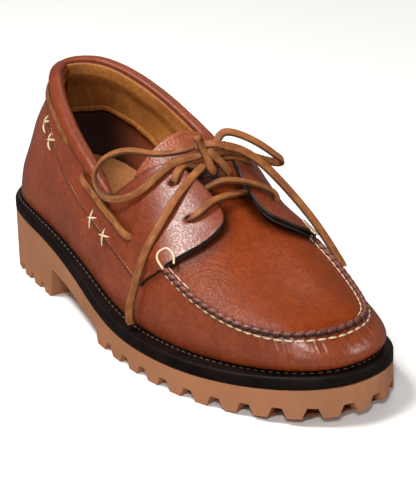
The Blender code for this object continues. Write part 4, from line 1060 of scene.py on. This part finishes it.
def wing_place(column, height, medial):
    """Where a column of the quarter stands at a height: the front edge leans forward towards the tip."""
    near = np.clip(1 - np.abs(column - FRONT) / 0.7, 0, 1)
    lean = profile(FRONT_LEAN, height) + np.where(medial, FRONT_MEDIAL * np.clip((2 - height) / 0.2, 0, 1), 0)
    return column + lean * near


def quarter_net(columns, rows, medial, low, high):
    """Stations and heights of the quarter's grid, its front corners rounded."""
    near_tip = np.clip((columns - (FRONT - TIP)) / TIP, 0, 1)
    top = profile(WING_EDGE, columns) * high - TIP_DROP * (1 - np.sqrt(1 - near_tip ** 2))
    base = profile(QUARTER_EDGE, columns) if low is None else np.full(len(columns), low)
    height = base[:, None] + (top - base)[:, None] * rows[None]
    return wing_place(columns[:, None], height, medial[:, None]), height


half = np.concatenate([np.linspace(0, 3.9, 150), np.linspace(3.9, 5.2, 90)[1:], np.linspace(5.2, 5.5, 26)[1:],
                       FRONT - 0.1 * (1 - np.linspace(0, 1, 16)[1:]) ** 2])
columns = np.concatenate([half[::-1], half[1:]])
medial = np.concatenate([np.ones(len(half), bool), np.zeros(len(half) - 1, bool)])
rows = np.concatenate([[0, 0.012, 0.03], np.linspace(0.055, 0.945, 40), [0.97, 0.988, 1]])
station, height = quarter_net(columns, rows, medial, None, 1.0)
quarter_grid = last_surface(station, height, medial[:, None])
outward = surface_normal(station, height, np.broadcast_to(medial[:, None], station.shape))
on_wing = ease(height, 1.0, 1.25) * ease(station, 4.4, 4.8)
stand = np.where(medial, WING_LIFT[True], WING_LIFT[False])[:, None]
front_near = ease(columns, 5.0, 5.55)[:, None] * ease(height, 0.80, 1.1) * np.where(medial, 0.9, 1.0)[:, None]
lift = stand * ease(height, np.where(medial, 0.95, 1.15)[:, None], 1.65) * on_wing
lift = np.maximum(lift, 0.85 * stand * front_near)
low_edge = profile(QUARTER_EDGE, columns)[:, None]
lift = lift + 0.35 * np.exp(-((height - low_edge - 0.05) / 0.03) ** 2)
foot = quarter_grid
quarter_grid = foot + outward * (lift + 0.5 * soft_noise(foot, (24, 24, 24)))[..., None]
holes = []
for _, inner in SIDES:
    for s, h in EYELETS + SIDE_HOLES:
        gap = np.linalg.norm(over_surface(s, h, inner, 0.0) - foot, axis=-1)
        holes.append(quarter_grid[np.unravel_index(gap.argmin(), gap.shape)])
outer_rear_hole = np.linalg.norm(quarter_grid - holes[len(EYELETS)], axis=-1) < 6
edge_gap = np.minimum(height - low_edge, profile(WING_EDGE, columns)[:, None] - height)
quarter_marks = {
    "tone": (0.55 * np.exp(-(edge_gap / 0.02) ** 2)).ravel(),
    "gather": np.full(height.size, 0.05),
    "lie": quarter_grid.reshape(-1, 3),
}
quarter = leather("quarter_with_wings", quarter_grid.reshape(-1, 3), grid_faces(*height.shape), OVERLAY + 0.3,
                  OVERLAY_GAP + OVERLAY, [quarter_leather, dark_edge, inner_leather], quarter_marks, holes,
                  radius=2.1, raw=((station > 4.3) | outer_rear_hole).ravel(), replaces=("quarter",))
print("quarter", len(quarter.data.polygons), "faces,", len(holes), "holes")

# %% [markdown]
# ## Painted shade beside the wings
# Where the wings' edges stand on the apron, their shadow falls on it, and that shadow is painted in. A painted
# texture could show it, but the apron already carries a tone mark on its points, so that mark is deepened
# there.

# %% Painted shade in the corner before the wings
def paint_shade_near(piece, line, width, amount):
    """Deepens the tone mark of a piece close to a line, as painted shade."""
    spots = np.array([vertex.co for vertex in piece.data.vertices]) * 1000
    gap = np.full(len(spots), 99.0)
    for place in metres(line) * 1000:
        gap = np.minimum(gap, np.linalg.norm(spots - place, axis=1))
    values = np.empty(len(spots), np.float32)
    layer = piece.data.attributes["tone"].data
    layer.foreach_get("value", values)
    layer.foreach_set("value", np.maximum(values, amount * np.exp(-(gap / width) ** 2)).astype(np.float32))


wing_foot = np.concatenate([foot[0, 12:], foot[-1, 12:], foot[:60, -1], foot[-60:, -1]])
paint_shade_near(apron, wing_foot[::2], 5.6, 1.0)
print("painted shade beside", len(wing_foot), "points of the wings' edges")

# %% [markdown]
# ## Wing linings
# Under each wing lies its lining, cut a little smaller, so the wing's edge shows two dark layers. It is the
# same net, from the seam up, on the upper's own surface.

# %% Wing linings
LINING_THICK, LINING_OUT = 1.7, 1.1         # how thick it is, and how far its face lies from the foot
for side, inner in SIDES:
    lining_columns = np.linspace(NOTCH, FRONT, 70)
    lining_side = np.full(len(lining_columns), inner)
    station, height = quarter_net(lining_columns, np.linspace(0, 1, 22), lining_side, 0.99, 0.985)
    stand = WING_LIFT[inner] * 0.5 * ease(height, 0.95 if inner else 1.15, 1.65)
    grid = over_surface(station, height, lining_side[:, None], stand[..., None])
    lining_holes = [over_surface(s, h, inner, WING_LIFT[inner] * 0.4) for s, h in EYELETS]
    leather("wing_lining_" + side, grid.reshape(-1, 3), grid_faces(*height.shape), LINING_THICK, LINING_OUT,
            [dark_edge, dark_edge, inner_leather], {"tone": np.zeros(height.size)}, lining_holes, radius=2.4,
            replaces=("upper",))
print("each wing lining has", len(lining_holes), "holes")

# %% [markdown]
# ## Collar roll
# A soft roll of foam, covered in the same leather, runs round the rim from notch to notch. A channel is
# stitched under it outside, and a dark seam inside joins it to the lining. The ring of the tube is drawn
# in at those two lines, and its lower inside is already lining.

# %% Collar roll
lining_leather = full_grain("lining_leather", (0.48, 0.180, 0.040), (0.32, 0.104, 0.019), (0.57, 0.245, 0.066),
                            pebble=0.7, depth=0.03, roughness=0.5)
ROLL_HALF_WIDTH, ROLL_HALF_HEIGHT, ROLL_INSET = 4.2, 4.5, 2.0
ROLL_END = 4.3
CORNER_FILL, CORNER_PLACE = 0.55, 0.35      # the opening's rear outer corner is filled out, so it looks round
INNER_SEAM, OUTER_CHANNEL = math.radians(152), math.radians(312)     # round the roll, from its outside up
roll_places = np.concatenate([np.linspace(ROLL_END, 3.6, 40)[:-1], np.linspace(3.6, 0, 150)])
roll_path = [(s, True) for s in roll_places] + [(s, False) for s in roll_places[::-1][1:]]
angles = np.linspace(0, 2 * math.pi, 40, endpoint=False)


def roll_size(station):
    """The roll's share of its full size, which narrows towards the notch."""
    return 1 - 0.66 * np.clip((station - 3.75) / 0.55, 0, 1) ** 1.5


def roll_radius(angle):
    """Half the section's size round the roll: drawn in at the outer channel and at the inner seam."""
    def pinch(at, width, depth):
        """How deep a line at an angle draws the ring in."""
        gap = np.abs((angle - at + math.pi) % (2 * math.pi) - math.pi)
        return depth * np.exp(-(gap / width) ** 2)
    return 1 - pinch(OUTER_CHANNEL, 0.30, 0.07) - pinch(INNER_SEAM, 0.14, 0.18)


rings, lies, run, before = [], [], 0.0, None
for s, inner in roll_path:
    point = key_line(np.asarray(s), inner)
    step = key_line(np.asarray(s + 0.02), inner) - key_line(np.asarray(max(s - 0.02, 0.0)), inner)
    along = unit(step * (1, 1, 0))
    outward = np.array((-1.0, 0, 0))
    if s > 0:
        outward = np.array((along[1], -along[0], 0)) * (-1.0 if inner else 1.0)
    size = roll_size(s)
    height = ROLL_HALF_HEIGHT * size
    centre = point - outward * (ROLL_INSET - 0.35) + UP * (0.2 + height)
    run += 0.0 if before is None else float(np.linalg.norm(centre - before))
    before = centre
    wobble = 1 + 0.03 * noise.noise((run / 9.0, 1.7, 0)) + 0.015 * noise.noise((run / 3.0, 4.1, 0))
    corner = CORNER_FILL * math.exp(-(((-s if inner else s) - CORNER_PLACE) / 0.50) ** 2)
    radius = roll_radius(angles) * wobble * (1 + corner * np.clip(-np.cos(angles), 0, 1))
    aside, up = ROLL_HALF_WIDTH * size * radius * np.cos(angles), height * radius * np.sin(angles)
    rings.append(centre + outward * aside[:, None] + UP * up[:, None])
    lies.append(np.stack([np.full(len(angles), run), angles * ROLL_HALF_WIDTH, angles * 0], -1))
ring_tone = 0.9 * np.exp(-((angles - INNER_SEAM) / 0.10) ** 2)
ring_tone += 0.22 * np.exp(-((angles - OUTER_CHANNEL) / 0.16) ** 2)
roll_marks = {"tone": np.tile(ring_tone, len(rings)), "lie": np.concatenate(lies),
              "gather": np.full(len(rings) * len(angles), 0.05)}
LINED_FROM, LINED_TO = {True: math.radians(156), False: math.radians(190)}, math.radians(300)
lined = [(LINED_FROM[inner] < angles) & (angles < LINED_TO) for _, inner in roll_path[:-1]]
slots = np.concatenate([*lined, [0, 0]]).astype(int)
roll = add_piece("collar_padding", np.concatenate(rings), tube_faces(len(rings), len(angles)),
                 [roll_leather, lining_leather], slots, roll_marks, ("collar_roll",))
print("roll", round(run), "mm long")

# %% [markdown]
# ## Heel lining
# Inside the collar a band of soft tan lining reaches a thumb's width down, ends in a folded and stitched
# hem, and has an upright seam at the heel. Below it the wrap's flesh side shows.

# %% Lining band
BAND_DEPTH, BAND_END = 25.0, 4.36           # mm below the rim at the heel, and the station where it ends
BAND_THICK = 0.7
HEM_ROW = -5                                # the band's row that the hem's stitches follow
band_half = np.linspace(0, BAND_END, 130)
band_columns = np.concatenate([band_half[::-1], band_half[1:]])
band_inner = np.arange(len(band_columns)) < len(band_half)
band_rows = np.concatenate([np.linspace(-0.2, 0, 9)[:-1], np.linspace(0, 0.86, 22), np.linspace(0.88, 1, 9)])
rise = (key_line(band_columns, band_inner) - feather(band_columns, band_inner))[:, 2]
fade = 1 - 0.45 * ease(band_columns, 3.4, BAND_END)
size = roll_size(band_columns)[:, None]
ragged = np.array([noise.noise((c * 2.1, 7.0 + side, 0.0)) for c, side in zip(band_columns, band_inner)])
below = np.clip(band_rows, 0, 1)[None] * (BAND_DEPTH * fade + 1.2 * ragged)[:, None]
tucked = np.where(band_inner, 1.0, 1 - 0.75 * ease(band_columns, 0.0, 0.8))[:, None]    # under the roll outside
above = np.clip(-band_rows / 0.2, 0, 1)[None] * 5.6 * size * tucked
band_heights = np.minimum(1 - below / rise[:, None], 1.0)
stations, inners = (np.broadcast_to(part[:, None], band_heights.shape) for part in (band_columns, band_inner))
band_grid = last_surface(stations, band_heights, inners)
band_grid[..., 2] += above
outward = unit(surface_normal(stations, np.minimum(band_heights, 0.96), inners) * (1, 1, 0))
under_roll = 2.1 * size * (1 - ease(below, 0, 9)) + 0.3 * size * ease(above, 0, 4)
hem = 0.8 * ease(band_rows, 0.87, 0.90)[None] * (1 - 0.6 * ease(band_rows, 0.97, 1.0))[None]
seam_gap = band_columns[:, None] * 12.0
heel_seam = 0.5 * np.exp(-((seam_gap - 1.2) / 1.0) ** 2) - 0.4 * np.exp(-(seam_gap / 0.5) ** 2)
wrinkles = np.array([[noise.noise((c * 9.0, r * 1.3, 3.0)) for r in band_rows] for c in band_columns])
loose = (0.5 * soft_noise(band_grid, (9, 9, 14)) + 0.45 * wrinkles) * ease(band_rows, 0.0, 0.2)[None]
band_grid = band_grid - outward * (UPPER_WALL + 0.9 + hem + heel_seam + under_roll + loose)[..., None]
seam_tone = 0.6 * np.exp(-(seam_gap / 0.5) ** 2)
hem_tone = 0.5 * np.exp(-((band_rows[None] - 0.875) / 0.012) ** 2)
# Painted shade: the lining is darkened round the heel's back, where it lies in shade.
rear_painted_shade = 0.5 * (1 - ease(band_columns, 0.9, 2.0))[:, None]
band_marks = {"tone": (seam_tone + rear_painted_shade + hem_tone).ravel(), "gather": np.full(band_heights.size, 0.03),
              "lie": band_grid.reshape(-1, 3)}
leather("lining_band", band_grid.reshape(-1, 3), grid_faces(*band_heights.shape), BAND_THICK, 0.0,
        [lining_leather] * 3, band_marks)
print("lining band", BAND_DEPTH, "mm deep")

# %% [markdown]
# ## Insole
# The sock under the foot is tan leather on a footbed that is thicker at the heel. Its solid stays and takes
# a dry, rubbed finish.

# %% Insole
sock_leather = full_grain("sock_leather", (0.42, 0.17, 0.058), (0.33, 0.125, 0.040), (0.50, 0.23, 0.09),
                          pebble=0.8, depth=0.03, roughness=0.55)
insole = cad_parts["insole"]
insole.data.materials.clear()
insole.data.materials.append(sock_leather)
print("insole keeps", len(insole.data.polygons), "faces")

# %% [markdown]
# ## Tongue
# The tongue lies under the wings and shows at the throat and above the laces. Its top edge is pinked, cut
# in small teeth, with a row of tonal stitches inside it, and its leather is the most strongly grained.

# %% Tongue
TONGUE_EDGES = ((6.05, 1.50), (5.914, 1.48), (5.64, 1.46), (5.37, 1.44), (5.1, 1.43), (4.9, 1.44), (4.7, 1.42),
                (4.58, 1.36), (4.46, 1.32))
TONGUE_ROW = -9                             # the row across the tongue that its stitches follow
TONGUE_THICK = 2.2
TOOTH_PITCH, TOOTH_DEPTH = 2.0, 0.55        # of the pinked top edge
lengths = np.concatenate([np.linspace(6.05, 4.7, 60), np.linspace(4.7, 4.46, 46)[1:]])
sides = np.linspace(-1, 1, 151)
low = np.interp(-lengths, [-s for s, _ in TONGUE_EDGES], [h for _, h in TONGUE_EDGES])
tongue_heights = 2 - (2 - low)[:, None] * np.abs(sides)[None]
tongue_inner = np.broadcast_to(sides[None] > 0, tongue_heights.shape)
tongue_grid = last_surface(lengths[:, None], np.minimum(tongue_heights, 1.995), tongue_inner)
tongue_grid[:, np.abs(sides) < 1e-9] = crest(lengths)[:, None]
outward = outward_normals(tongue_grid, False, up=True)
# this mask sinks the tongue under the knot and, through the tone mark, also paints shade there
throat = (ease(lengths, 4.88, 5.05) * (1 - ease(lengths, 5.5, 5.7)))[:, None] * ease(tongue_heights, 1.66, 1.80)
under = UPPER_WALL + FIT_GAP + 1.2 + 2.4 * throat
buckle = np.array([[noise.noise((x / 12, y / 12, 2.0)) for x, y, _ in line] for line in tongue_grid])
tongue_grid = tongue_grid - outward * (under - 0.6 * buckle)[..., None]
for _ in range(10):    # softens the ridge in the middle
    tongue_grid[:, 1:-1] = (tongue_grid[:, :-2] + 2 * tongue_grid[:, 1:-1] + tongue_grid[:, 2:]) / 4
top_run = distances(tongue_grid[-1])
teeth = TOOTH_DEPTH * (2 * np.abs((top_run / TOOTH_PITCH) % 1 - 0.5) - 0.5)
tongue_grid[-1] += unit(tongue_grid[-1] - tongue_grid[-2]) * teeth[:, None]
tongue_marks = {"tone": throat.ravel(), "gather": np.full(throat.size, 0.08), "lie": tongue_grid.reshape(-1, 3)}
leather("tongue_leather_piece", tongue_grid.reshape(-1, 3), grid_faces(*throat.shape), TONGUE_THICK, 0.0,
        [tongue_leather, tongue_leather, inner_leather], tongue_marks, replaces=("tongue",))
print("tongue", round(float(top_run[-1]), 1), "mm across its top")

# %% [markdown]
# ## Apron seam
# Wrap and apron are butted and sewn over and over by hand, so the seam stands up as a puckered cord, with
# a cream thread showing as dashes on both sides. The cord is a tube along the seam with slanting lobes,
# one for each pass of the thread. The dashes are small capsules, joined into one mesh.

# %% Puckered seam cord
seam_leather = full_grain("seam_leather", (0.21, 0.058, 0.036), (0.13, 0.030, 0.017), (0.34, 0.12, 0.085),
                          pebble=0.9, depth=0.06, roughness=0.32, specular=0.4)
SEAM_END = 5.42                             # the station where the seam's cord runs in under the wings
SEAM_HALF_WIDE, SEAM_HALF_HIGH = 1.60, 1.50
seam_places = np.linspace(SEAM_END, LOOP - SEAM_END, 900)
station, medial = around(seam_places)
outward = unit(surface_normal(station, 0.98, medial) + UP)
seam_line = resample(key_line(station, medial), len(seam_places))
seam_run = distances(seam_line)
along = unit(np.gradient(seam_line, axis=0))
outward = unit(outward - along * (outward * along).sum(1, keepdims=True))
across = np.cross(along, outward)
angles = np.linspace(0, 2 * math.pi, 18, endpoint=False)
swell = np.minimum(ease(seam_run, 0, 9), ease(seam_run[-1] - seam_run, 0, 9)) * 0.35 + 0.65
pass_of_thread = (seam_run[:, None] / STITCH_PITCH + 0.20 * np.cos(angles)[None]) % 1
crease = np.minimum(pass_of_thread, 1 - pass_of_thread)
lobes = (1.10 - 0.46 * np.exp(-(crease / 0.15) ** 2)) * swell[:, None]
up = 1.10 * swell[:, None] + SEAM_HALF_HIGH * np.sin(angles)[None] * lobes
aside = SEAM_HALF_WIDE * np.cos(angles)[None] * lobes - 0.25
body = seam_line[:, None] + outward[:, None] * up[..., None] + across[:, None] * aside[..., None]
# Painted shade: the creases between the lobes and the cord's outer side, towards the dashes, are darkened.
crease_painted_shade, outer_side_painted_shade = 0.95 * np.exp(-(crease / 0.11) ** 2), 0.85 * ease(np.cos(angles), 0.35, 0.85)[None]
cord_marks = {"tone": np.clip(crease_painted_shade + outer_side_painted_shade, 0, 1).ravel(), "gather": np.zeros(lobes.size),
              "lie": body.reshape(-1, 3)}
add_piece("apron_seam_cord", body.reshape(-1, 3), tube_faces(*lobes.shape), [seam_leather], None, cord_marks,
          ("upper",))
print("seam", round(float(seam_run[-1])), "mm")

# %% [markdown]
# ## Thread
# Stitches are short, slightly arched capsules of waxed thread that dip into the leather at both ends. A
# helper lays them along any run of points and joins them into one mesh: cream for the hand-sewn seams,
# rust and tan for the tonal machine rows, nearly black for the welt. A row of single objects would do too,
# but hundreds of them would slow everything down.

# %% Stitch maker
CAPSULE_RINGS, CAPSULE_SIDES = 7, 7
CAPSULE_FLAT = 0.8                          # height of a stitch's section over its width


def thread(name, colour, pale):
    """Waxed twisted thread."""
    finish = Finish(name, 0.55, 0.35)
    twist = finish.noise(0.35, 2.0, 0.6)
    mixed = finish.blend(finish.range(twist, 0.35, 0.7), colour, pale)
    return finish.paint(mixed, None, finish.bump(twist, 0.1, 0.7))


cream_thread = thread("cream_thread", (0.55, 0.40, 0.24), (0.78, 0.64, 0.44))
rust_thread = thread("rust_thread", (0.16, 0.055, 0.030), (0.36, 0.16, 0.10))
tan_thread = thread("tan_thread", (0.42, 0.19, 0.10), (0.62, 0.36, 0.22))
dark_thread = thread("dark_thread", (0.045, 0.026, 0.018), (0.10, 0.065, 0.048))


def capsules(runs, radius, arch):
    """One mesh of small capsules. runs are pairs of end points with the outward direction there."""
    starts, ends, outs = (np.array([np.asarray(run[k], float) for run in runs]) for k in range(3))
    along = unit(ends - starts)
    outs = unit(outs - along * (outs * along).sum(1, keepdims=True))
    across = np.cross(along, outs)
    t = np.linspace(0, 1, CAPSULE_RINGS)
    bulge = np.sin(math.pi * np.clip(t, 0.04, 0.96)) ** 0.45
    rise = arch * np.sin(math.pi * t) - radius * 0.6
    turns = np.linspace(0, 2 * math.pi, CAPSULE_SIDES, endpoint=False)
    centre = starts[:, None] + (ends - starts)[:, None] * t[:, None] + outs[:, None] * rise[:, None]
    aside, up = radius * np.cos(turns)[:, None], radius * CAPSULE_FLAT * np.sin(turns)[:, None]
    section = across[:, None, None] * aside + outs[:, None, None] * up
    body = centre[:, :, None] + section * bulge[:, None, None]
    size = CAPSULE_RINGS * CAPSULE_SIDES
    *quads, first_cap, last_cap = tube_faces(CAPSULE_RINGS, CAPSULE_SIDES)
    bases = range(0, len(runs) * size, size)
    faces = [[base + k for k in face] for base in bases for face in quads]
    faces += [[base + k for k in face] for base in bases for face in (first_cap, last_cap)]
    return body.reshape(-1, 3), faces


def stitch_row(name, points, outs, finish, pitch, share, radius, arch):
    """A row of stitches along a line, each one a share of the pitch long."""
    arc = distances(points)
    count = int(arc[-1] / pitch)
    marks = (np.arange(count) + 0.5) * arc[-1] / count
    half_length = arc[-1] / count * share / 2
    starts, ends = rows_at(marks - half_length, arc, points), rows_at(marks + half_length, arc, points)
    body, faces = capsules(list(zip(starts, ends, unit(rows_at(marks, arc, outs)))), radius, arch)
    return add_piece(name, body, faces, [finish])


def stitches_in(rows):
    """How many stitches each row of a list has."""
    return [len(row.data.vertices) // (CAPSULE_RINGS * CAPSULE_SIDES) for row in rows]


print("threads", [made.name for made in (cream_thread, rust_thread, tan_thread, dark_thread)])


# %% Cream dashes along the apron seam
def seam_rail(places, above):
    """Points beside the seam, a distance in mm out on the wrap (below) or in on the apron (above)."""
    station, medial = around(places)
    rise = (key_line(station, medial) - feather(station, medial))[:, 2]
    reach = np.linalg.norm(crest(station) - key_line(station, medial), axis=1)
    height = np.where(above > 0, 1 + above / reach, 1 + above / rise)
    return over_surface(station, height, medial, 0.0), surface_normal(station, height, medial)


points, outs = seam_rail(np.linspace(5.66, LOOP - 5.78, 1200), -1.85)
dashes = [stitch_row("outer_seam_stitches", points + outs * 0.35, outs, cream_thread, STITCH_PITCH,
                     share=0.84, radius=0.60, arch=0.4)]
for name, low, high in (("lateral", 5.66, 6.15), ("medial", 9.85, LOOP - 5.75)):
    points, outs = seam_rail(np.linspace(low, high, 600), 1.9)
    dashes.append(stitch_row("inner_seam_stitches_" + name, points + UP * 0.3, outs, cream_thread,
                             STITCH_PITCH, share=0.93, radius=0.5, arch=0.3))
print("cream dashes", stitches_in(dashes))

# %% [markdown]
# ## Tonal machine rows
# Two machine rows in the leather's own colours follow each side of the quarter: one along its lower edge,
# and one along the wing's front edge. They are given by the quarter's own stations and heights, so they stay
# on it wherever its edge leans.


# %% Tonal rows on the quarter
def quarter_line(stations, heights, medial, out):
    """Points a distance over the quarter's face, by its own stations, and their outward directions."""
    inner = np.full(len(stations), medial)
    place = wing_place(stations, heights, inner)
    normal = surface_normal(place, heights, inner)
    return last_surface(place, heights, inner) + normal * (OVERLAY + OVERLAY_GAP + out), normal


tonal = []
for side, medial in SIDES:
    stations = np.linspace(0.0, 5.28, 500)
    points, outs = quarter_line(stations, profile(QUARTER_EDGE, stations) + 0.035, medial, 0.12)
    tonal.append(stitch_row("quarter_row_" + side, points, outs, tan_thread, pitch=2.2, share=0.6,
                            radius=0.27, arch=0.2))
    points, outs = quarter_line(np.full(200, FRONT - 0.055), np.linspace(0.70, 1.62, 200), medial, 0.15)
    tonal.append(stitch_row("wing_row_" + side, points, outs, rust_thread, pitch=2.4, share=0.7,
                            radius=0.27, arch=0.12))
print("tonal stitches", stitches_in(tonal))

# %% [markdown]
# ## Rows on the welt, the hem and the tongue
# A heavy dark thread holds the upper to the welt all round the ledge. The lining's hem and the tongue's
# pinked edge have a fine rust row each. The last two follow a row of their piece's own grid, which already
# has the folds in it.

# %% Ledge, hem and tongue rows
ledge_stations = np.linspace(0, TOE, 700)
ledge = []
for _, medial in SIDES:
    point, inward = outline(ledge_stations, medial)
    plan = point + inward * (spline(last_column("inset"), ledge_stations) - 1.5)[:, None]
    ledge.append(np.concatenate([plan, (gum_top(plan[:, 0]) + MIDSOLE_THICK + 0.1)[:, None]], -1))
ledge = np.concatenate([ledge[0], ledge[1][::-1]])
ledge_up = np.broadcast_to(UP, ledge.shape)
ledge_row = stitch_row("ledge_stitches", ledge, ledge_up, dark_thread, pitch=4.2, share=0.68, radius=0.45,
                       arch=0.35)
hem_line = band_grid[:, HEM_ROW]
hem_out = unit(unit(np.array((120.0, 0, 90.0)) - hem_line) * (1, 1, 0.2))
hem_row = stitch_row("hem_stitches", hem_line + hem_out * 0.15, hem_out, rust_thread, pitch=2.6, share=0.7,
                     radius=0.25, arch=0.15)
tongue_line = tongue_grid[TONGUE_ROW][6:-6] + UP * 0.15
tongue_up = np.broadcast_to((0.2, 0, 1.0), tongue_line.shape)
tongue_row = stitch_row("tongue_stitches", tongue_line, tongue_up, rust_thread, pitch=2.4, share=0.7,
                        radius=0.27, arch=0.15)
print("stitches on ledge, hem and tongue", stitches_in([ledge_row, hem_row, tongue_row]))

# %% [markdown]
# ## Tacks and seam ends
# The quarter is tacked to the wrap by hand with crossed cream threads, and each end of the apron seam is
# finished with a loop of the same thread. The tacks are the same capsules as the stitches, and a loop is
# swept along its route like a lace.

# %% Cream cross stitches and the seam's end loops
CROSSES = (  # ends of each long and short thread, as (station, height), where the quarter is tacked by hand
    ((4.046, 0.81), (4.023, 0.60)), ((3.96, 0.675), (4.16, 0.775)),
    ((4.36, 0.773), (4.35, 0.589)), ((4.255, 0.66), (4.489, 0.745)),
    ((2.401, 0.906), (2.286, 0.802)), ((2.286, 0.802), (2.444, 0.765)), ((2.293, 0.812), (2.487, 0.885)),
    ((2.676, 0.856), (2.617, 0.764)), ((2.617, 0.764), (2.728, 0.722)), ((2.563, 0.753), (2.84, 0.86)),
)
SEAM_LOOP = ((5.786, 1.103), (5.706, 1.154), (5.607, 1.159), (5.551, 1.132), (5.515, 1.078), (5.546, 1.029),
             (5.65, 1.009), (5.706, 1.006))
ON_LEATHER = OVERLAY + OVERLAY_GAP + 0.3
runs = []
for _, medial in SIDES:
    for start, end in CROSSES:
        middle = (np.array(start) + end) / 2
        out = surface_normal(np.asarray(middle[0]), np.asarray(middle[1]), np.asarray(medial))
        runs.append((over_surface(*start, medial, ON_LEATHER), over_surface(*end, medial, ON_LEATHER), out))
body, faces = capsules(runs, radius=0.62, arch=0.6)
add_piece("cross_stitches", body, faces, [cream_thread])
for (side, medial), forward, over in zip(SIDES, (0.0, 0.1), (1.25, 1.9)):
    places = [over_surface(s + forward, h, medial, ON_LEATHER + over) for s, h in SEAM_LOOP]
    points = smooth_route(places, 0.5)
    outs = unit(points - np.array((150.0, 0.0, 20.0)))
    body, faces, _ = sweep_strip(points, outs, width=1.1, thick=0.95)
    add_piece("seam_end_loop_" + side, body, faces, [cream_thread])
print("cross stitches", len(runs))

# %% [markdown]
# ## Floor
# A wide pale sheet, slightly uneven in tone, catches the shoe's soft shadow.

# %% Floor
FLOOR_HALF = 4.0
floor_paint = Finish("floor_paper", 0.9, 0.2)
tone = floor_paint.noise(300.0, 2.0)
floor_paint.paint(floor_paint.blend(tone, (0.92, 0.92, 0.92), (0.95, 0.95, 0.95)))
floor_mesh = bpy.data.meshes.new("floor")
corners = [(FLOOR_HALF * x, FLOOR_HALF * y, 0) for x, y in ((-1, -1), (1, -1), (1, 1), (-1, 1))]
floor_mesh.from_pydata(corners, [], [(0, 1, 2, 3)])
floor_mesh.materials.append(floor_paint.material)
floor = bpy.data.objects.new("floor", floor_mesh)
scene.collection.objects.link(floor)
floor.visible_glossy = False      # the floor gives soft light back, but isn't mirrored in the leather
print("floor", 2 * FLOOR_HALF, "m wide")
